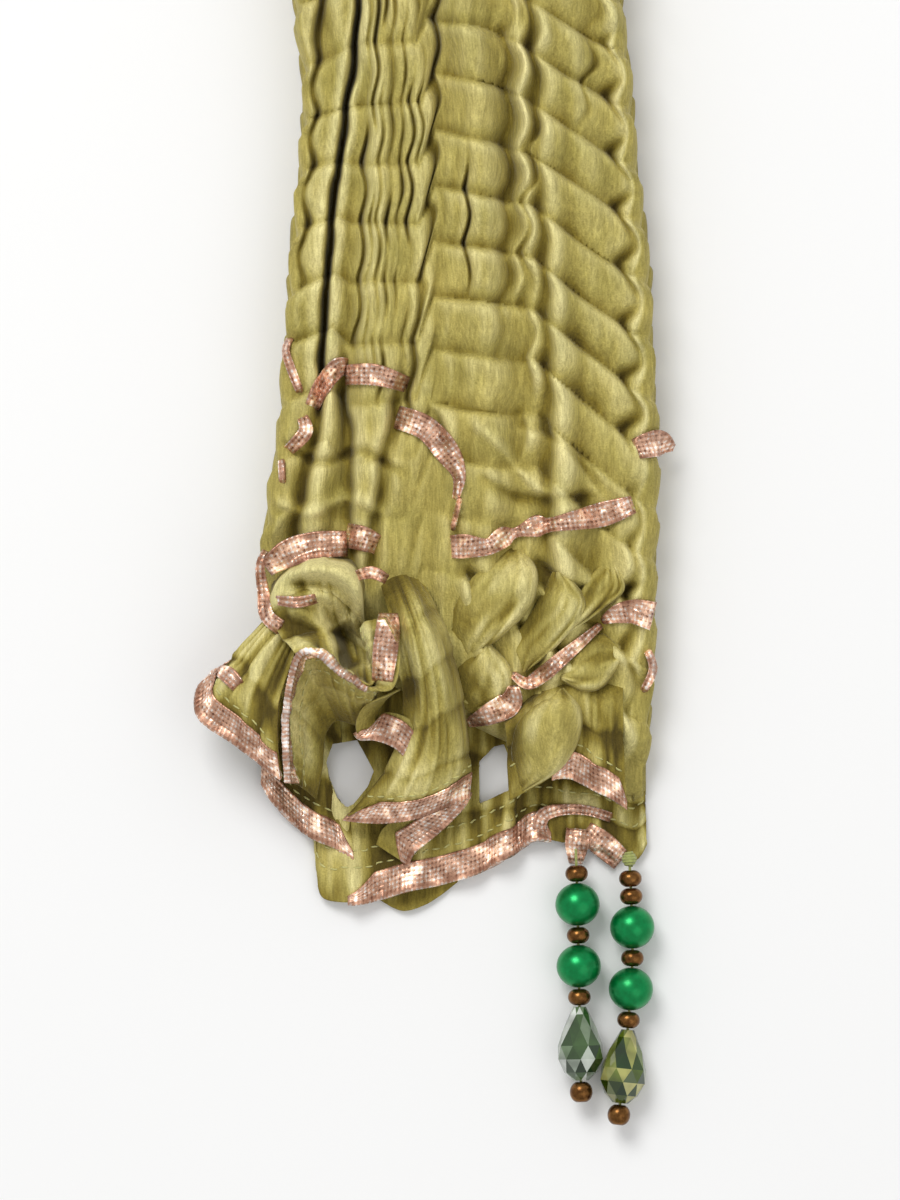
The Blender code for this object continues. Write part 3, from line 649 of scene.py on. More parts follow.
def ringOf(s, roll):            # rows of rings all round the bundle, s along and roll 1 to 0
    left = eased(run["stations"], 1, s)
    width = eased(run["stations"], 2, s) - left
    height = eased(run["stations"], 3, s)
    skew = ramp(0.0, 1.0, (run["skewStart"] - s) / (run["skewStart"] - run["end"]))
    first = run["folds"][0][0]
    last = run["folds"][-1][0]
    rows = []

    marks = np.linspace(first, last, 2000)
    low, high, closer = run["fineColumns"]
    share = np.cumsum(1.0 + (closer - 1.0) * ((marks > low) & (marks < high)))
    share = (share - share[0]) / (share[-1] - share[0])
    columns = np.interp(np.linspace(0.0, 1.0, run["topColumns"]), share, marks)
    across = columns[None, :] + 0.0 * s[:, None]
    x = left[:, None] + width[:, None] * across
    y = s[:, None] + run["skew"] * across * skew[:, None]
    swing, z = topOfCloth(across, x, y, height[:, None])
    edgeZ = {True: z[:, -1], False: z[:, 0]}
    rows.append(np.stack([x + swing, y, z], 2))

    def side(right):
        edge = last if right else first
        sign = 1.0 if right else -1.0
        start = rows[0][:, -1] if right else rows[0][:, 0]
        control = [start]
        for inset, share in run["leaves"]:
            place = 1.0 if right else 0.0
            ownY = s + run["skew"] * place * skew
            down = pleatPlace(np.full_like(s, edge), ownY + 14.0 * (0.66 - share))[1]
            bulge = pleatShape(down) * 1.2 - 1.0
            uneven = 0.5 * softNoise(s / 7.0, s * 0 + share * 60.0)
            foot = left + width * place - sign * (inset - bulge + uneven)
            control.append(np.stack([foot, ownY, np.minimum(height * share, edgeZ[right] - 0.6)], 1))
        place = 0.97 if right else 0.03
        ownY = s + run["skew"] * place * skew
        control.append(np.stack([left + width * place, ownY, 0.0 * s], 1))
        return splineRows(control, run["sideColumns"] + 1)[1:].transpose(1, 0, 2)

    rightSide = side(True)
    leftSide = side(False)
    rows.append(rightSide)
    share = np.linspace(0.0, 1.0, run["underColumns"] + 2)[1:-1]
    under = rightSide[:, -1:] + (leftSide[:, -1:] - rightSide[:, -1:]) * share[None, :, None]
    rows.append(under)
    rows.append(leftSide[:, ::-1])
    ring = np.concatenate(rows, 1)
    outer = ramp(0.86, 1.02, (ring[..., 0] - left[:, None]) / width[:, None]) ** 2
    ring[..., 1] += run["cornerRound"] * outer * np.exp(-(s[:, None] - run["end"]) / 6.0)
    ring[..., 2] = np.maximum(ring[..., 2], 0.0)
    middle = height[:, None] * 0.35
    rolled = middle + (ring[..., 2] - middle) * (0.1 + 0.9 * roll[:, None])
    ring[..., 2] = np.where(roll[:, None] < 1.0, rolled, ring[..., 2])
    return ring


def makeStole(material):
    starts = (run["end"],) + run["seams"]
    stops = run["seams"] + (laidLength,)
    names = ("stoleNear", "stoleMiddle", "stoleFar")
    for name, start, stop, count in zip(names, starts, stops, run["rows"]):
        s = np.linspace(start, stop, count)
        roll = np.sqrt(1.0 - (1.0 - np.clip((laidLength - s) / run["foldRound"], 0.0, 1.0)) ** 2)
        ring = ringOf(s, roll)
        reach = max(int(round(run["shadeReach"] / (s[1] - s[0]))), 1)
        # painted shade: hollows of the bundle are painted darker and crests lighter, from its height
        # against its blurred height
        hollow = (ring[..., 2] - blurred(ring[..., 2], reach, 8)) / run["shadeDepth"]
        shade = np.clip(0.56 + hollow, 0.0, 1.0)
        # painted shade: the sides and underside are painted no lighter than middle shade
        shade[:, run["topColumns"]:] = np.minimum(shade[:, run["topColumns"]:], 0.5)
        if name == "stoleNear":         # the open end rounds in under the hem
            tips = []
            for turn in np.linspace(0.0, math.pi / 2.0, 7)[:-1]:
                row = ring[0].copy()
                row[:, 1] -= run["noseLength"] * math.cos(turn)
                row[:, 2] *= max(math.sin(turn), 0.04)
                tips.append(row)
            shade = np.concatenate([np.repeat(shade[:1], len(tips), 0), shade])
            ring = np.concatenate([np.array(tips), ring])
        faces = gridFaces(ring.shape[0], ring.shape[1], wrap=True)
        piece = addMesh(name, ring.reshape(-1, 3), faces, material, paintedShadeAndCord=shade)
        settle(piece, ["stole_bundle"])


# Open hem ends. A net has a row for each line of the fold, hem point first, then on to the bundle.
# Tape is a row for each stretch: its start and end along the hem as shares, 1 or -1 for the face it
# is on, and over how many millimetres its start and its end narrow

hemEnds = {
    "Fan": {
        "piece": "upperFan", "nodes": ("upper_end_fan",), "tapeNode": "hem_tape_fan",
        "along": 110, "deep": 64, "wrinkle": 0.62, "sinks": True, "pressed": False,
        "tape": ((0.0, 1.0, 1.0, 2.0, 0.0),),
        "net": (
            ((-35.2, 78.8, 4.5), (-32.6, 84.5, 7.5), (-28.8, 95.0, 12.4)),
            ((-38.6, 81.0, 7.6), (-34.2, 86.3, 10.6), (-27.2, 95.8, 13.0)),
            ((-42.0, 78.2, 10.2), (-36.2, 84.6, 13.2), (-25.6, 96.3, 13.4)),
            ((-41.8, 73.2, 12.6), (-35.4, 81.6, 15.4), (-24.0, 96.4, 13.8)),
            ((-34.8, 68.2, 14.6), (-32.0, 79.6, 17.8), (-22.4, 96.3, 14.0)),
            ((-27.6, 62.8, 15.0), (-28.0, 76.0, 20.0), (-21.6, 94.0, 16.2)))},
    "Curl": {
        "piece": "upperCurl", "nodes": ("upper_end_curl",), "tapeNode": "hem_tape_curl",
        "along": 180, "deep": 54, "wrinkle": 0.42, "sinks": False, "pressed": True,
        "tape": ((0.0, 0.66, -1.0, 0.0, 2.0),),
        "net": (
            ((-26.6, 61.6, 15.5), (-25.6, 61.4, 11.5), (-24.0, 60.6, 8.0), (-21.6, 58.6, 4.5)),
            ((-27.0, 70.0, 19.4), (-26.2, 69.8, 14.8), (-22.8, 67.0, 10.5), (-20.4, 64.0, 6.0)),
            ((-26.4, 78.0, 22.5), (-25.6, 77.4, 17.8), (-22.6, 74.0, 12.5), (-19.8, 70.0, 7.5)),
            ((-24.4, 84.6, 25.0), (-23.6, 83.4, 20.2), (-21.0, 78.6, 14.5), (-18.0, 72.6, 8.5)),
            ((-20.6, 85.0, 26.2), (-20.4, 84.2, 21.4), (-18.6, 78.0, 15.5), (-16.2, 72.6, 9.0)),
            ((-16.6, 81.4, 26.0), (-16.4, 81.0, 21.2), (-15.6, 76.4, 15.5), (-14.4, 72.0, 9.5)),
            ((-11.8, 78.4, 25.2), (-11.8, 78.2, 20.4), (-12.2, 75.4, 15.0), (-12.4, 72.0, 9.5)),
            ((-7.4, 78.6, 25.6), (-10.2, 79.4, 22.0), (-10.8, 77.5, 16.0), (-10.8, 74.0, 10.0)),
            ((-6.2, 85.0, 27.0), (-10.4, 85.0, 25.0), (-11.4, 83.4, 18.5), (-11.2, 81.0, 11.0)),
            ((-8.8, 91.2, 27.6), (-12.0, 90.6, 25.6), (-12.8, 89.8, 19.0), (-12.6, 89.4, 11.2)))},
    "Arch": {
        "piece": "upperCurl", "nodes": ("upper_end_curl",), "tapeNode": None,
        "along": 100, "deep": 90, "wrinkle": 0.55, "sinks": True, "pressed": True,
        "tape": (),
        "net": (
            ((-24.9, 84.6, 23.8), (-27.8, 88.0, 18.5), (-29.6, 93.0, 14.5), (-29.4, 97.5, 12.0)),
            ((-21.0, 85.4, 25.4), (-23.0, 90.0, 17.6), (-25.2, 97.2, 22.5), (-25.0, 101.2, 15.0)),
            ((-16.6, 82.0, 25.2), (-18.2, 89.6, 15.0), (-19.6, 98.0, 25.2), (-20.0, 102.4, 17.0)),
            ((-12.2, 79.1, 24.4), (-14.4, 87.4, 11.5), (-15.2, 96.2, 24.4), (-15.4, 101.6, 18.0)),
            ((-10.6, 79.8, 21.6), (-12.6, 85.5, 8.5), (-13.2, 91.0, 13.0), (-12.6, 99.0, 17.0)))},
    "Scroll": {
        "piece": "upperRoll", "nodes": ("upper_end_roll",), "tapeNode": "hem_tape_roll",
        "along": 130, "deep": 26, "wrinkle": 0.16, "sinks": False, "pressed": False,
        "tape": ((0.30, 0.80, 1.0, 3.0, 3.4),),
        "net": (
            ((-8.6, 77.2, 19.0), (-6.0, 78.5, 17.0)), ((-12.4, 75.5, 16.4), (-8.8, 76.6, 14.5)),
            ((-14.1, 72.6, 14.8), (-10.5, 73.7, 12.8)), ((-13.6, 69.8, 13.8), (-10.6, 72.6, 13.0)),
            ((-10.4, 69.6, 14.2), (-8.6, 74.2, 15.0)), ((-6.8, 68.2, 14.4), (-4.6, 73.0, 16.6)),
            ((-4.2, 64.8, 13.0), (-0.8, 69.2, 17.0)), ((-5.4, 61.2, 10.6), (-1.6, 65.4, 14.6)),
            ((-9.5, 58.4, 8.4), (-6.0, 61.6, 11.0)), ((-15.8, 55.6, 6.8), (-11.4, 58.2, 8.6)))},
    "Roll": {
        "piece": "upperRoll", "nodes": ("upper_end_roll",), "tapeNode": "hem_tape_roll",
        "along": 96, "deep": 120, "wrinkle": 0.34, "sinks": True, "pressed": True,
        "tape": ((0.0, 1.0, 1.0, 4.6, 0.0),),
        "net": (
            ((-16.2, 55.2, 5.6), (-9.0, 64.0, 10.5), (-6.0, 73.0, 15.0), (-6.8, 85.0, 21.5),
             (-10.0, 97.6, 17.5)),
            ((-10.0, 54.8, 7.6), (-4.4, 65.0, 14.5), (-2.6, 75.0, 19.5), (-4.4, 87.0, 25.0),
             (-8.2, 98.8, 20.5)),
            ((-3.6, 55.8, 9.4), (0.0, 65.5, 16.5), (0.2, 76.0, 20.8), (-2.2, 88.0, 25.2),
             (-6.4, 99.2, 20.5)),
            ((2.6, 58.2, 9.6), (3.8, 66.5, 14.8), (2.8, 76.5, 18.4), (-0.2, 88.5, 22.6),
             (-4.6, 99.0, 19.5)),
            ((5.8, 59.4, 7.4), (6.0, 67.0, 10.6), (4.8, 77.5, 13.4), (1.8, 89.0, 16.6),
             (-2.6, 98.0, 16.5)))},
    "Tuck": {                   # where the roll's hem turns back under itself
        "piece": "upperRoll", "nodes": ("upper_end_roll",), "tapeNode": "hem_tape_roll",
        "along": 60, "deep": 30, "wrinkle": 0.20, "sinks": False, "pressed": False,
        "tape": ((0.0, 1.0, -1.0, 0.0, 4.0),),
        "net": (
            ((6.0, 59.6, 7.4), (-1.0, 60.0, 7.6)), ((4.4, 56.8, 6.0), (-4.0, 57.6, 6.4)),
            ((0.4, 52.8, 5.4), (-7.0, 55.4, 5.4)), ((-4.0, 49.2, 5.0), (-9.6, 53.0, 4.6)),
            ((-5.2, 46.8, 4.4), (-10.6, 50.4, 3.6)))},
    "Skirt": {
        "piece": "upperSkirt", "nodes": ("upper_end_skirt",), "tapeNode": "hem_tape_skirt",
        "along": 110, "deep": 70, "wrinkle": 0.60, "sinks": True, "pressed": False,
        "tape": ((0.36, 1.0, 1.0, 3.6, 1.6),),
        "net": (
            ((13.4, 58.4, 5.8), (12.9, 66.0, 8.2), (12.4, 73.5, 13.2)),
            ((18.0, 61.0, 8.4), (17.8, 69.0, 13.0), (17.0, 77.2, 15.2)),
            ((21.6, 63.0, 9.8), (22.4, 71.0, 14.6), (21.8, 79.2, 15.6)),
            ((25.4, 62.4, 8.6), (26.2, 70.6, 11.2), (25.6, 79.8, 13.6)),
            ((30.0, 60.0, 9.4), (29.8, 68.0, 12.0), (29.6, 80.2, 13.0)),
            ((34.2, 57.4, 7.6), (33.8, 67.0, 10.8), (33.6, 79.6, 12.0)))},
}

endFolds = (                    # pressed into the upper ends, down where the depth is below 0
    {"depth": -5.6, "reach": 1.45, "points": (
        (-27.7, 96.4), (-23.5, 97.3), (-19.7, 97.2), (-17.1, 96.0), (-15.5, 93.6), (-15.2, 90.2))},
    {"depth": 1.5, "reach": 1.1, "points": (
        (-26.6, 98.4), (-24.0, 99.6), (-19.7, 99.8), (-16.2, 98.6), (-14.2, 95.6))},
    {"depth": -7.0, "reach": 1.9, "points": ((-17.6, 90.0), (-15.9, 86.4), (-14.2, 81.6))},
    {"depth": 2.6, "reach": 0.85, "points": (
        (-13.9, 98.4), (-13.6, 94.8), (-12.7, 90.5), (-11.7, 85.9), (-11.0, 81.4))},
    {"depth": 2.6, "reach": 1.3, "points": (
        (-26.4, 93.4), (-22.2, 91.0), (-18.6, 87.6), (-16.8, 84.4))},
    {"depth": -1.6, "reach": 1.2, "points": ((-22.0, 94.2), (-18.8, 92.2), (-17.4, 89.4))},
    {"depth": -1.2, "reach": 0.8, "points": ((-8.4, 94.8), (-5.6, 86.2), (-3.4, 76.4))},
    {"depth": 0.8, "reach": 0.9, "points": ((-4.8, 96.8), (-1.6, 90.2), (1.0, 80.0), (1.8, 70.0))},
)

lowerEnds = {                   # hem x, y, z and root x, a row for each half wave of the hem
    "Left": {
        "along": 96, "deep": 92, "wrinkle": 0.48, "rest": 1.5,
        "tape": ((0.0, 1.0, 1.0, 0.0, 2.4),),
        "table": (
            (-30.9, 61.8, 1.6, -29.0), (-28.6, 57.6, 3.2, -27.0), (-24.6, 53.6, 2.2, -25.0),
            (-20.6, 51.2, 3.6, -23.0), (-17.6, 49.8, 2.4, -21.0), (-14.6, 48.2, 2.8, -19.0))},
    "Main": {
        "along": 236, "deep": 92, "wrinkle": 0.48, "rest": 0.5,
        "tape": ((0.13, 0.70, 1.0, 5.0, 2.0),),
        "table": (
            (-20.8, 44.8, 0.9, -22.0), (-20.2, 40.8, 1.4, -20.5), (-15.2, 39.9, 3.0, -16.5),
            (-10.0, 40.8, 1.8, -11.0), (-4.8, 42.4, 3.8, -4.6), (1.0, 43.6, 1.6, 0.5),
            (6.0, 44.9, 2.6, 5.5), (9.5, 46.4, 1.6, 9.0), (12.5, 48.1, 3.8, 12.5),
            (15.5, 50.0, 1.8, 15.5), (18.3, 51.5, 3.2, 18.5), (23.3, 50.6, 1.4, 23.4),
            (28.5, 50.2, 3.2, 28.4), (33.0, 48.4, 1.4, 33.0), (36.2, 47.6, 1.2, 35.6),
            (38.0, 50.4, 1.2, 37.6))},
    "Lip": {                    # lobe that shows under the hem, painted dark as shade with the rest of the lower end
        "along": 60, "deep": 24, "wrinkle": 0.2, "rest": 0.4, "tape": (),
        "table": (
            (-11.0, 41.0, 0.5, 0.0), (-7.6, 38.9, 0.9, 0.0), (-5.2, 38.4, 1.4, 0.0),
            (-2.0, 39.4, 1.2, 0.0), (1.0, 41.2, 0.9, 0.0), (4.0, 43.6, 0.5, 0.0))},
}
lipDepth = 6.0                  # how far the shaded lobe reaches back under the hem
clothLayer = 0.32               # thickness of a sheet
gaps = (                        # corners of the two gaps that show the table
    ((-18.6, 68.4), (-14.1, 69.1), (-12.5, 66.2), (-11.1, 63.5), (-12.2, 60.7), (-14.7, 57.6),
     (-16.1, 56.9), (-17.7, 58.7), (-19.2, 62.3), (-19.7, 65.2)),
    ((7.8, 65.2), (10.5, 67.9), (12.3, 68.4), (13.4, 65.5), (14.0, 61.2), (13.8, 60.3), (7.8, 57.6)),
)


def endLine(x):                 # where the bundle's open end meets the table
    end = run["stations"][0]
    return run["end"] + run["skew"] * (x - end[1]) / (end[2] - end[1])


surface = [None]                # the cloth that later pieces rest on


def heightOn(x, y, reach=0.0):  # highest cloth at a place and within reach of it, or -1 off its side
    best = -1.0
    around = ((reach, 0.0), (0.0, reach), (-reach, 0.0), (0.0, -reach)) if reach else ()
    for dx, dy in ((0.0, 0.0), *around):
        top = Vector(toMetres((x + dx, y + dy, 60.0)))
        hit = surface[0].ray_cast(top, Vector((0.0, 0.0, -1.0)))[0]
        if hit:
            best = max(best, hit.z * 1000.0)
    return best


def clothSoFar(names):
    points = []
    faces = []
    for name in names:
        mesh = bpy.data.objects[name].data
        start = len(points)
        points += [v.co.copy() for v in mesh.vertices]
        faces += [tuple(i + start for i in p.vertices) for p in mesh.polygons]
    return BVHTree.FromPolygons(points, faces)


def insideOutline(corners, x, y):   # which places of a grid lie inside an outline
    inside = np.zeros(x.shape, bool)
    for k, (x1, y1) in enumerate(corners):
        x0, y0 = corners[k - 1]
        crosses = ((y0 > y) != (y1 > y)) & (x < (x1 - x0) * (y - y0) / (y1 - y0 + 1e-9) + x0)
        inside ^= crosses
    return inside


turnedHem = {"depth": 10.0, "step": 0.22}       # cloth is one step thicker over the turned hem


def wrinkled(grid, wrinkle, seed):      # soft pleats from the hem up, and the pressed crinkle
    normals = gridNormals(grid)
    along = lengthsAlong(grid[:, 0])[:, None]
    up = lengthsAlong(grid.mean(0))[None, :]
    wave = softNoise(along / 2.6 + seed, up / 13.0 + seed)
    wave = wave + 0.5 * softNoise(along, up / 8.0 + seed)
    bend = softNoise(along / 8.0 + seed, up / 7.0 + 3.0)
    press = pleatShape((up / crinklePitch + 0.2 * softNoise(along / 8.0, up * 0.0 + seed)) % 1.0) - 0.5
    lift = wrinkle * (wave + 1.3 * bend + 0.9 * press * ramp(4.0, 9.0, up))
    lift = lift * ramp(-0.5, 2.5, up) * (0.25 + 0.75 * ramp(0.0, 6.0, up[0, -1] - up))
    hemStep = 1.0 - ramp(turnedHem["depth"] - 0.4, turnedHem["depth"] + 0.4, up)
    hemStep = turnedHem["step"] * hemStep * ramp(14.0, 16.0, up[0, -1] + 0.0 * up)
    return grid + normals * (lift + hemStep * np.sign(normals[..., 2]))[..., None], lift


def onOutline(corners, points):         # each point moved to the nearest place on an outline
    corners = np.array(corners)
    best = np.full(len(points), 1e9)
    moved = points.copy()
    for k in range(len(corners)):
        side = corners[k] - corners[k - 1]
        t = np.clip(((points - corners[k - 1]) @ side) / (side @ side), 0.0, 1.0)
        place = corners[k - 1] + t[:, None] * side
        far = np.linalg.norm(points - place, axis=1)
        moved[far < best] = place[far < best]
        best = np.minimum(best, far)
    return moved


def cutGaps(grid):              # faces to leave out, with the edges of the gaps made clean
    left = np.zeros(grid.shape[:2], bool)
    for corners in gaps:
        skip = insideOutline(corners, grid[..., 0], grid[..., 1])
        skipped = np.zeros(skip.shape, bool)
        kept = np.zeros(skip.shape, bool)
        for di, dk in ((0, 0), (1, 0), (0, 1), (1, 1)):
            moved = np.roll(skip, (di, dk), (0, 1))
            skipped |= moved
            kept |= ~moved
        rim = skipped & kept
        if rim.any():
            grid[rim, :2] = onOutline(corners, grid[rim, :2])
        left |= skip
    return left


def pressed(grid):              # the folds pressed into the ends, each fading out at its tips
    for fold in endFolds:
        line = splineRows(np.array(fold["points"], float), 48)
        away = np.linalg.norm(grid[..., None, :2] - line, axis=-1)
        place = away.argmin(-1) / (len(line) - 1.0)
        fade = ramp(0.0, 0.2, place) * ramp(0.0, 0.2, 1.0 - place)
        grid[..., 2] += fold["depth"] * fade * np.exp(-(away.min(-1) / fold["reach"]) ** 2)
    return grid


def sunkRoot(grid):             # the last of a fold goes down into the cloth it comes from
    root = np.array([heightOn(x, y) for x, y in grid[:, -1, :2]])
    root = blurred(np.where(root < 0.0, grid[:, -1, 2], root - 0.7)[:, None], 3, 1)
    share = np.linspace(0.0, 1.0, grid.shape[1])[None, :]
    grid[..., 2] += ramp(0.74, 1.0, share) * (root - grid[:, -1:, 2])
    return grid


sheetShade = {                  # painted shade: how light each sheet is painted to start, 0 to 1, with hollows painted darker and raised wrinkles lighter; the lower end, under the rest, is painted darkest
    "hollowReach": (16, 14), "hollowDepth": 5.0, "hollowLimits": (-0.38, 0.24), "lift": 0.72,
    "upperFan": 0.41, "upperCurl": 0.39, "upperRoll": 0.43,
    "upperSkirt": 0.39, "sideFolds": 0.41, "lowerEnd": 0.29,
}


def makeSheet(name, parts, material):   # parts are grids with their wrinkles, which also set the painted shade, and the faces to leave out
    points = []
    faces = []
    shades = []
    count = 0
    for grid, lift, skip in parts:
        own = np.array(gridFaces(grid.shape[0], grid.shape[1], skip=skip))
        used, own = np.unique(own, return_inverse=True)     # leaves out the points only the gaps used
        faces += (own.reshape(-1, 4) + count).tolist()
        points.append(grid.reshape(-1, 3)[used])
        # painted shade: each sheet's starting shade, lighter where wrinkles rise, darker in hollows
        # against the blurred height
        hollow = grid[..., 2] - blurred(grid[..., 2], *sheetShade["hollowReach"])
        hollow = np.clip(hollow / sheetShade["hollowDepth"], *sheetShade["hollowLimits"])
        shade = np.clip(sheetShade[name] + lift * sheetShade["lift"] + hollow, 0.03, 0.95)
        shades.append(shade.ravel()[used])
        count += len(used)
    piece = addMesh(name, np.concatenate(points), faces, material, paintedShadeAndCord=np.concatenate(shades))
    thicken(piece, clothLayer)
    return piece


def netGrid(net, along, deep):
    grid = splineRows(net, along)
    return splineRows(grid.transpose(1, 0, 2), deep).transpose(1, 0, 2)


def restingOn(net):             # the heights in a net are over the cloth below
    net = np.array(net, float)
    coarse = netGrid(net, 12, 14)
    below = np.array([[heightOn(x, y, 1.2) for x, y in line[:, :2]] for line in coarse])
    return blurred(np.where(below < 0.0, below.max() - 4.0, below), 1)


def makeEnds(material):
    grids = {}
    parts = {}
    nodes = {}
    for number, (name, end) in enumerate(hemEnds.items()):
        grid = netGrid(end["net"], end["along"], end["deep"])
        grid, lift = wrinkled(grid, end["wrinkle"], 13.0 * number + 5.0)
        if end["pressed"]:
            grid = pressed(grid)
        if end["sinks"]:
            grid = sunkRoot(grid)
        grid[..., 2] = np.maximum(grid[..., 2], clothLayer)
        parts.setdefault(end["piece"], []).append((grid, lift, None))
        nodes.setdefault(end["piece"], end["nodes"])
        grids[name] = grid
    for number, (name, end) in enumerate(lowerEnds.items()):
        net = []
        for x, y, z, rootX in end["table"]:
            hem = np.array([x, y, z])
            rest = np.array([rootX, endLine(rootX) - 0.55, end["rest"]])
            if name == "Lip":
                rest = np.array([x * 0.8, y + lipDepth, end["rest"]])
            middle = hem + (rest - hem) * 0.55
            middle[2] = end["rest"] + 0.3 * z
            net.append([hem, middle, rest])
        grid = netGrid(net, end["along"], end["deep"])
        grid, lift = wrinkled(grid, end["wrinkle"], 71.0 + 9.0 * number)
        grid[..., 2] = np.maximum(grid[..., 2], clothLayer)
        skip = None if name == "Lip" else cutGaps(grid)
        parts.setdefault("lowerEnd", []).append((grid, lift, skip))
        nodes["lowerEnd"] = ("lower_end",)
        grids["Lower" + name] = grid
    for name, own in parts.items():
        settle(makeSheet(name, own, material), nodes[name])
    return grids


# Leaf-like folds that lie over the right side. Lines run down each fold: its sunk side, then its
# rounded side, in x and y. Lift is how far it stands over the cloth below
sideFolds = (
    {"lift": 2.2, "sunk": ((13.0, 104.0), (7.2, 98.8), (4.0, 94.2), (2.6, 88.8), (2.4, 82.1)),
     "round": ((15.4, 104.6), (18.1, 99.6), (17.2, 93.6), (12.8, 88.6), (9.8, 85.9))},
    {"lift": 1.7, "sunk": ((7.2, 85.9), (4.1, 82.1), (3.4, 76.9), (5.4, 72.4)),
     "round": ((10.6, 87.2), (12.8, 83.0), (13.8, 79.2), (12.8, 73.6))},
    {"lift": 1.3, "sunk": ((18.8, 99.6), (18.1, 93.6), (13.6, 85.9), (13.6, 80.7)),
     "round": ((25.3, 98.9), (26.9, 93.6), (22.3, 86.8), (17.8, 82.1))},
    {"lift": 1.3, "sunk": ((27.6, 101.4), (26.8, 97.0), (23.6, 91.0), (20.6, 87.6)),
     "round": ((34.4, 101.0), (33.8, 96.4), (29.8, 92.6), (24.4, 88.2))},
    {"lift": 2.2, "sunk": ((23.0, 82.6), (26.0, 86.0), (29.8, 88.2), (32.9, 86.8)),
     "round": ((22.3, 78.8), (26.4, 78.0), (30.3, 79.0), (33.8, 82.1))},
    {"lift": 2.4, "sunk": ((21.6, 78.0), (15.5, 73.2), (13.7, 67.8), (14.4, 62.6), (12.8, 59.4)),
     "round": ((23.4, 78.8), (26.0, 74.6), (25.7, 69.4), (22.3, 64.0), (17.4, 60.2))},
)
foldGrid = (60, 44)             # rows and columns of each fold
foldRise = ((0.0, -0.5), (0.28, 0.35), (0.60, 0.92), (0.84, 1.0), (0.96, 0.5), (1.0, -0.5))


def makeSideFolds(material):
    parts = []
    for number, fold in enumerate(sideFolds):
        net = []
        count = len(fold["sunk"]) - 1
        for k, (first, last) in enumerate(zip(fold["sunk"], fold["round"])):
            first, last = np.array(first), np.array(last)
            full = 0.0 if k in (0, count) else 1.0
            row = []
            for share, rise in foldRise:
                if k in (0, count):     # each fold narrows to a point at both ends
                    share = 0.5 + (share - 0.5) * 0.3
                x, y = first + (last - first) * share
                row.append((x, y, fold["lift"] * full * rise - 1.3 * (1.0 - full)))
            net.append(row)
        below = restingOn(net)
        grid = netGrid(net, *foldGrid)
        grid[..., 2] += netGrid(np.dstack([below, below, below]), *foldGrid)[..., 0]
        along = np.linspace(0.0, 8.0, foldGrid[0])[:, None]
        over = np.linspace(0.0, 1.0, foldGrid[1])[None, :]
        lift = 0.42 * softNoise(over * 6.0 + 31.0 * number, along * 0.4)
        lift = lift + 0.22 * softNoise(over * 15.0, along * 0.7 + number)
        lift = lift * np.sin(np.pi * over) ** 0.5
        grid[..., 2] = np.maximum(grid[..., 2] + lift, clothLayer)
        # painted shade: each fold is painted lighter towards its rounded side and where its wrinkles
        # rise
        parts.append((grid, lift + 0.35 * over - 0.05, None))
    settle(makeSheet("sideFolds", parts, material), ["stole_bundle"])


# Metallic tape: woven, with corded edges

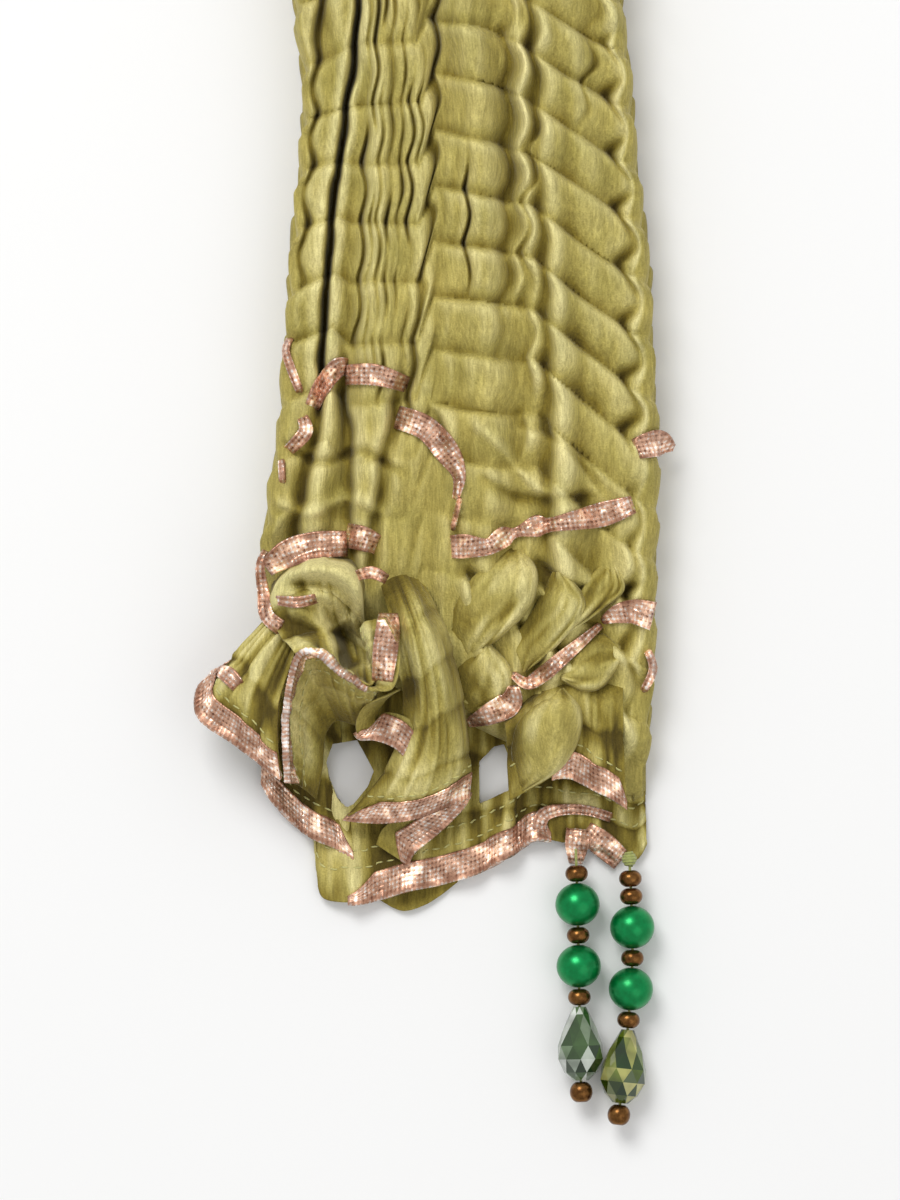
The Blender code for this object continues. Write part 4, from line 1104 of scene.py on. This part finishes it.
tape = {
    "width": 4.8,
    "clear": 0.42,              # above the cloth
    "turnUnder": 1.6,           # how far the hem's tape wraps to the back
    "step": 0.26,
    "thick": 0.2,
    "cell": 1.7,                # size of a woven cell
    "cellHeight": 0.09,
    "cordHeight": 0.18,
    "standsUnder": 1.6,         # narrower than this it is seen on edge, and stands up
    "rows": {                   # the parts of a row that show: x, y and width along the middle
        "rowOneLeft": ("row_one_left", (
            ((-26.0, 141.3, 1.2), (-26.8, 139.0, 1.4), (-25.6, 135.0, 1.6), (-24.2, 131.4, 1.3)),
            ((-22.2, 128.6, 2.6), (-20.4, 132.4, 3.2), (-17.6, 135.8, 3.4), (-15.6, 136.0, 3.0)),
            ((-16.1, 134.6, 3.6), (-10.7, 134.5, 3.8), (-5.0, 132.8, 2.8)),
            ((-7.0, 127.1, 4.2), (-1.7, 125.0, 4.4), (2.2, 120.6, 4.4), (4.2, 116.5, 2.4),
             (3.6, 112.3, 1.2)),
            ((-24.0, 127.4, 1.8), (-23.3, 124.4, 2.6), (-26.5, 121.0, 2.0)),
            ((-27.6, 119.5, 1.2), (-27.4, 115.2, 1.2)),
            ((4.4, 112.6, 0.9), (3.0, 106.8, 0.9)))),
        "rowOneRight": ("row_one_right", (
            ((2.4, 103.8, 4.0), (5.3, 103.9, 4.3), (9.4, 103.8, 3.0), (12.3, 105.6, 3.7),
             (14.5, 106.4, 1.8), (18.1, 107.5, 3.9), (21.0, 107.8, 2.6), (29.4, 109.5, 4.4),
             (35.4, 111.4, 3.2)),)),
        "rowOneTurn": ("row_one_turn", (
            ((35.6, 121.2, 3.6), (38.0, 122.0, 4.5), (40.6, 122.4, 4.5), (42.8, 121.6, 1.2)),)),
        "rowTwoLeft": ("row_two_left", (
            ((-30.4, 103.1, 1.2), (-31.4, 100.3, 1.6), (-30.8, 95.4, 2.2), (-30.2, 91.6, 2.6),
             (-27.3, 89.1, 2.8)),
            ((-30.2, 99.9, 2.9), (-26.7, 102.4, 5.0), (-21.9, 104.0, 5.0), (-15.9, 104.4, 4.6)),
            ((-16.0, 105.9, 4.4), (-12.8, 105.2, 4.4), (-10.2, 104.1, 3.4)),
            ((-14.3, 98.5, 1.8), (-11.4, 99.2, 2.2), (-8.7, 98.0, 1.8)),
            ((-28.5, 94.3, 1.6), (-24.6, 93.9, 2.0), (-20.8, 94.7, 1.6)))),
        "rowTwoRight": ("row_two_right", (
            ((5.8, 72.2, 1.6), (10.0, 74.0, 4.0), (13.4, 76.0, 4.4), (14.0, 79.4, 1.4)),
            ((13.6, 81.2, 1.2), (16.3, 79.4, 2.2), (19.0, 80.8, 2.8), (22.8, 84.0, 2.6),
             (26.9, 87.5, 1.8), (29.8, 90.0, 1.2)),
            ((29.8, 90.5, 1.2), (32.6, 91.8, 3.4), (35.6, 92.2, 4.4), (39.0, 91.4, 5.2)),
            ((37.9, 85.4, 1.2), (39.0, 81.9, 1.6), (37.2, 77.8, 1.3)))),
        "cornerTab": ("hem_tape_lower", (
            ((25.7, 53.6, 4.2), (25.4, 50.2, 4.2), (25.2, 46.9, 2.4)),
            ((26.6, 53.0, 3.6), (30.0, 50.4, 4.6), (33.4, 47.4, 4.0)))),
        "innerTape": ("hem_tape_skirt", (
            ((18.5, 52.4, 2.4), (19.4, 55.6, 2.6), (23.0, 56.6, 2.0), (27.6, 56.4, 1.8),
             (32.0, 55.0, 1.8)),)),
        "fanBack": ("hem_tape_fan", (
            ((-38.8, 81.6, 2.0), (-37.0, 80.8, 3.0), (-35.0, 78.6, 2.4)),)),
        "faceTape": ("hem_tape_curl", (
            ((-8.4, 91.9, 3.4), (-8.5, 89.0, 4.3), (-9.0, 84.6, 4.4), (-9.5, 79.4, 3.6)),)),
    },
}


def weave(along, over, width):  # relief, cord and yarns of the tape at places along and over it
    slant = 2.0 * np.pi / tape["cell"]
    cells = np.sin(slant * (along + over)) * np.sin(slant * (along - over))
    edge = np.minimum(over, width - over)
    cord = np.exp(-((edge - 0.28) / 0.26) ** 2)
    twist = 0.75 + 0.25 * np.sin(2.0 * np.pi * along / 0.8)
    return (tape["cellHeight"] * cells + tape["cordHeight"] * cord * twist, cord + 0.0 * along,
            0.5 + 0.5 * cells)


def evenSteps(line, step):      # points at even distances along a line
    lengths = lengthsAlong(line[:, :2])
    marks = np.linspace(0.0, lengths[-1], max(int(lengths[-1] / step), 8))
    points = [np.interp(marks, lengths, line[:, axis]) for axis in range(line.shape[1])]
    return np.stack(points, 1), marks


def joinStrips(name, node, strips, material):   # strips are grids of points with their cords and yarns
    points = []
    faces = []
    cords = []
    yarns = []
    for grid, cord, yarn in strips:
        grid[..., 2] = np.maximum(grid[..., 2], 0.3)
        faces += (np.array(gridFaces(grid.shape[0], grid.shape[1])) + len(points)).tolist()
        points += grid.reshape(-1, 3).tolist()
        cords.append(cord.ravel())
        yarns.append(yarn.ravel())
    piece = addMesh(name, points, faces, material, paintedShadeAndCord=np.concatenate(cords),
                    weaving=np.concatenate(yarns))
    thicken(piece, tape["thick"])
    settle(piece, [node])


def makeRowTape(name, node, runs, material):
    strips = []
    for path in runs:
        line, along = evenSteps(splineRows(np.array(path, float), 160), tape["step"])
        ahead = np.gradient(line[:, :2], axis=0)
        ahead /= np.linalg.norm(ahead, axis=1, keepdims=True)
        side = np.stack([-ahead[:, 1], ahead[:, 0]], 1)
        share = np.linspace(0.0, 1.0, 17)
        width = line[:, 2:3]
        flat = line[:, None, :2] + side[:, None, :] * ((share - 0.5)[None, :] * width)[..., None]
        z = np.array([[heightOn(x, y) for x, y in row] for row in flat])
        z = np.maximum(z, max(z.max() - 7.0, 1.2))
        spread = z.copy()
        for shift in (1, 2):
            spread[shift:] = np.maximum(spread[shift:], z[:-shift])
            spread[:-shift] = np.maximum(spread[:-shift], z[shift:])
        rest = np.maximum(blurred(spread, 3, 3), z) + tape["clear"]
        ripple = 0.55 * np.abs(softNoise(along[:, None] / 2.6 + 7.0, share[None, :] * 2.0))
        stands = np.maximum(0.0, tape["standsUnder"] - width) * np.sin(np.pi * share)[None, :] * 1.2
        tip = np.minimum(along, along[-1] - along)[:, None]
        tuck = 1.5 * (1.0 - ramp(0.0, 0.9, tip))
        strip = np.dstack([flat, blurred(rest, 1) + ripple + stands - tuck])
        relief, cord, yarns = weave(along[:, None], share[None, :] * width, width)
        strip[..., 2] += relief
        strips.append((strip, cord, yarns))
    joinStrips(name, node, strips, material)


def makeHemTape(name, node, grid, spans, material):
    strips = []
    for first, last, side, startTaper, endTaper in spans:
        piece = grid[int(first * (len(grid) - 1)):int(last * (len(grid) - 1)) + 1]
        normals = gridNormals(piece) * side
        lengths = np.concatenate([np.zeros((len(piece), 1)), np.cumsum(
            np.linalg.norm(np.diff(piece, axis=1), axis=2), axis=1)], 1)
        over = np.concatenate([[-tape["turnUnder"], -tape["turnUnder"] * 0.5, -0.01],
                               np.linspace(0.0, tape["width"], 19)])
        rows = []
        reliefs = []
        hem = lengthsAlong(piece[:, 0])
        for i, line in enumerate(piece):
            edge = line[0] - line[min(4, len(line) - 1)]
            edge = edge / np.linalg.norm(edge)
            taper = min(hem[i] / (startTaper + 0.01), (hem[-1] - hem[i]) / (endTaper + 0.01))
            narrow = 0.22 + 0.78 * min(1.0, taper)
            row = []
            for distance in over:
                reach = abs(distance) * narrow
                place = pointAt(reach, lengths[i], line)
                off = tape["clear"] if distance >= 0.0 else -tape["clear"]
                lap = 0.45 * math.exp(-(distance / 0.3) ** 2)
                row.append(place + normals[i, 0] * off + edge * lap)
            rows.append(row)
            reliefs.append([normals[i, 0] * (1.0 if distance >= 0.0 else -1.0) for distance in over])
        marks = np.linspace(0.0, hem[-1], max(int(hem[-1] / tape["step"]), 8))

        def resampled(values):
            flat = np.array(values).reshape(len(piece), -1)
            return np.stack([np.interp(marks, hem, flat[:, c]) for c in range(flat.shape[1])],
                            1).reshape(len(marks), len(over), 3)

        relief, cord, yarns = weave(marks[:, None], np.abs(over)[None, :], tape["width"])
        strip = resampled(rows) + resampled(reliefs) * relief[..., None]
        strip[..., 2] = np.maximum(strip[..., 2], 0.2)
        strips.append((strip, cord, yarns))
    joinStrips(name, node, strips, material)


# Running stitches above the tape, one joined mesh

stitches = {
    "length": 1.5, "pitch": 2.3, "thick": 0.34, "sides": 5,
    "lines": {                  # how far each row of stitches lies from the hem
        "Fan": (6.4,), "Curl": (6.0, 9.0), "Roll": (6.2,), "Skirt": (6.4,), "LowerMain": (6.4, 9.6),
        "LowerLeft": (6.4,)},
}


def makeStitches(name, lines, material):
    sides = stitches["sides"]
    points = []
    faces = []
    for line, normals in lines:
        lengths = lengthsAlong(line)
        mark = 0.8
        while mark + stitches["length"] < lengths[-1]:
            start = len(points)
            ticks = mark + stitches["length"] * np.array([0.0, 0.25, 0.75, 1.0])
            for t, size in zip(ticks, (0.25, 1.0, 1.0, 0.25)):
                centre = pointAt(t, lengths, line)
                normal = pointAt(t, lengths, normals)
                ahead = pointAt(t + 0.3, lengths, line) - pointAt(t - 0.3, lengths, line)
                ahead = ahead / max(np.linalg.norm(ahead), 1e-6)
                beside = np.cross(ahead, normal)
                for k in range(sides):
                    angle = 2.0 * math.pi * k / sides
                    outward = (beside * math.cos(angle) + normal * math.sin(angle)) * size
                    points.append(centre + normal * 0.22 + outward * stitches["thick"] / 2.0)
            faces += (np.array(gridFaces(4, sides, wrap=True)) + start).tolist()
            faces.append(tuple(range(start, start + sides)))
            faces.append(tuple(range(start + 3 * sides, start + 4 * sides)))
            mark += stitches["pitch"]
    piece = addMesh(name, points, faces, material)
    turnOut(piece)
    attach(piece, "root")


# Bead strands at the corners

strands = {
    "gap": 0.3,
    "bore": 0.6,
    "threadThick": 0.5,
    "kinds": {"seed": (2.9, 4.1), "pearl": (7.6, 8.0), "drop": (13.2, 8.4), "end": (3.6, 4.1)},
    "left": {
        "knotted": False,
        "beads": ("seed", "pearl", "seed", "pearl", "seed", "drop", "end"), "top": 46.6,
        "thread": ((25.2, 49.6, 4.2), (25.5, 40.0, 4.1), (25.8, 25.0, 4.2), (26.2, 4.6, 4.6))},
    "right": {
        "knotted": True,
        "beads": ("seed", "seed", "pearl", "seed", "pearl", "seed", "drop", "end"), "top": 45.7,
        "thread": ((34.8, 48.6, 4.3), (35.4, 32.0, 4.1), (34.6, 18.0, 4.3), (32.8, 0.5, 4.6))},
}

# Facet rows of a crystal drop from its foot up: place along, width, part turn
dropRows = ((-1.0, 0.34, 0.0), (-0.78, 0.72, 0.5), (-0.42, 0.97, 0.0), (-0.05, 0.97, 0.5),
            (0.42, 0.72, 0.0), (0.8, 0.44, 0.5), (1.0, 0.28, 0.0))


def beadProfile(kind, half, radius, bore):
    bends = 26 if kind == "pearl" else 14
    lip = math.asin(min(1.0, (bore + 0.18) / radius))
    square = 1.0 if kind == "pearl" else 0.8
    outline = [(-half * 0.9, bore)]
    for i in range(bends + 1):
        angle = lip + (math.pi - 2.0 * lip) * i / bends
        outline.append((-half * math.cos(angle) / math.cos(lip), radius * math.sin(angle) ** square))
    outline.append((half * 0.9, bore))
    return outline


def makeBead(name, node, kind, centre, direction, material):
    length, width = strands["kinds"][kind]
    half, radius, bore = length / 2.0, width / 2.0, strands["bore"]
    turn = Vector(direction).to_track_quat("Z", "X")
    points = []
    faces = []
    if kind == "drop":
        sides = 9
        rows = [(a * half, o * radius, s) for a, o, s in dropRows]
    else:
        sides = 48 if kind == "pearl" else 32
        rows = [(a, o, 0.0) for a, o in beadProfile(kind, half, radius, bore)]
    for along, out, part in rows:
        for k in range(sides):
            angle = 2.0 * math.pi * (k + part) / sides
            local = Vector((out * math.cos(angle), out * math.sin(angle), along))
            points.append(centre + np.array(turn @ local))
    for a, b, c, d in gridFaces(len(rows), sides, wrap=True):
        if kind != "drop":
            faces.append((a, b, c, d))
        elif rows[a // sides][2] < rows[d // sides][2]:
            faces.extend(((a, b, d), (b, c, d)))
        else:
            faces.extend(((a, b, c), (a, c, d)))
    if kind == "drop":
        faces.append(tuple(range(sides)))
        faces.append(tuple(range((len(rows) - 1) * sides, len(rows) * sides)))
    else:                       # the bore joins the last ring to the first
        for k in range(sides):
            beside = (k + 1) % sides
            top = (len(rows) - 1) * sides
            faces.append((top + k, top + beside, beside, k))
    piece = addMesh(name, points, faces, material, smooth=kind != "drop")
    turnOut(piece)
    settle(piece, [node])


def makeTube(name, line, thick, sides, material):
    points = []
    ahead = np.gradient(line, axis=0)
    ahead /= np.linalg.norm(ahead, axis=1, keepdims=True)
    for centre, way in zip(line, ahead):
        beside = np.cross(way, (0.0, 0.0, 1.0))
        beside /= np.linalg.norm(beside)
        up = np.cross(beside, way)
        for k in range(sides):
            angle = 2.0 * math.pi * k / sides
            points.append(centre + (beside * math.cos(angle) + up * math.sin(angle)) * thick / 2.0)
    faces = gridFaces(len(line), sides, wrap=True)
    faces.append(tuple(range(sides)))
    faces.append(tuple(range((len(line) - 1) * sides, len(line) * sides)))
    piece = addMesh(name, points, faces, material)
    turnOut(piece)
    return piece


def makeStrand(side, finishes):
    strand = strands[side]
    line = splineRows(np.array(strand["thread"]), 120)
    y = strand["top"]
    for number, kind in enumerate(strand["beads"], start=1):
        length = strands["kinds"][kind][0]
        y -= length / 2.0
        centre = pointAt(-y, -line[:, 1], line)
        above = pointAt(-(y + 2.0), -line[:, 1], line)
        below = pointAt(-(y - 2.0), -line[:, 1], line)
        makeBead(f"{side}Bead{number}{kind.capitalize()}", f"{side}_bead_{number}_{kind}", kind,
                 centre, above - below, finishes[side + kind])
        y -= length / 2.0 + strands["gap"]
    if strand["knotted"]:
        share = np.linspace(0.0, 1.0, 130)[:, None]
        turns = share * 10.0 * math.pi
        wide = 0.45 + 0.65 * np.sin(np.pi * share)
        knot = line[0] + np.hstack([wide * np.cos(turns), 0.3 - 2.3 * share, wide * np.sin(turns)])
        wound = makeTube(f"{side}Knot", knot, 0.62, 8, finishes["thread"])
        settle(wound, [f"{side}_thread"])
    thread = makeTube(f"{side}Thread", line, strands["threadThick"], 8, finishes["thread"])
    settle(thread, [f"{side}_thread"])


print("stage 1: studio and finishes")
setStudio()
chiffonFinish = makeChiffon()
tapeFinish = makeTapeFinish()
pearlFinish = makePearlFinish()
bronzeFinish = makeBronzeFinish()
threadFinish = makeThreadFinish("greenThread", beadColours["thread"])
stitchFinish = makeThreadFinish("paleStitch", beadColours["stitch"])
finishes = {"thread": threadFinish}
for sideName, glassColour in (("left", "glassLeft"), ("right", "glassRight")):
    finishes[sideName + "seed"] = bronzeFinish
    finishes[sideName + "end"] = bronzeFinish
    finishes[sideName + "pearl"] = pearlFinish
    finishes[sideName + "drop"] = makeGlassFinish(sideName + "Crystal", beadColours[glassColour])

print("stage 2: gathered run of the stole")
makeStole(chiffonFinish)
surface[0] = clothSoFar(("stoleNear",))

print("stage 3: open hem ends")
grids = makeEnds(chiffonFinish)

surface[0] = clothSoFar(("stoleNear", "upperSkirt"))
makeSideFolds(chiffonFinish)

print("stage 4: tapes and stitches")
surface[0] = clothSoFar(("stoleNear", "upperFan", "upperCurl", "upperRoll", "upperSkirt",
                         "sideFolds", "lowerEnd"))
for tapeName, (nodeName, runs) in tape["rows"].items():
    makeRowTape(tapeName, nodeName, runs, tapeFinish)
for endName, end in hemEnds.items():
    if end["tape"]:
        makeHemTape("hemTape" + endName, end["tapeNode"], grids[endName], end["tape"], tapeFinish)
for endName, end in lowerEnds.items():
    if end["tape"]:
        makeHemTape("hemTapeLower" + endName, "hem_tape_lower", grids["Lower" + endName],
                    end["tape"], tapeFinish)
stitchLines = []
for endName, distances in stitches["lines"].items():
    grid = grids[endName]
    normals = gridNormals(grid)
    normals *= np.sign(normals[..., 2:3] + 1e-9)
    far = np.cumsum(np.linalg.norm(np.diff(grid, axis=1), axis=2), axis=1)
    for distance in distances:
        index = np.minimum((far < distance).sum(1), grid.shape[1] - 1)
        rows = np.arange(len(grid))
        stitchLines.append((grid[rows, index], normals[rows, index]))
makeStitches("hemStitches", stitchLines, stitchFinish)

print("stage 5: bead strands")
makeStrand("left", finishes)
makeStrand("right", finishes)
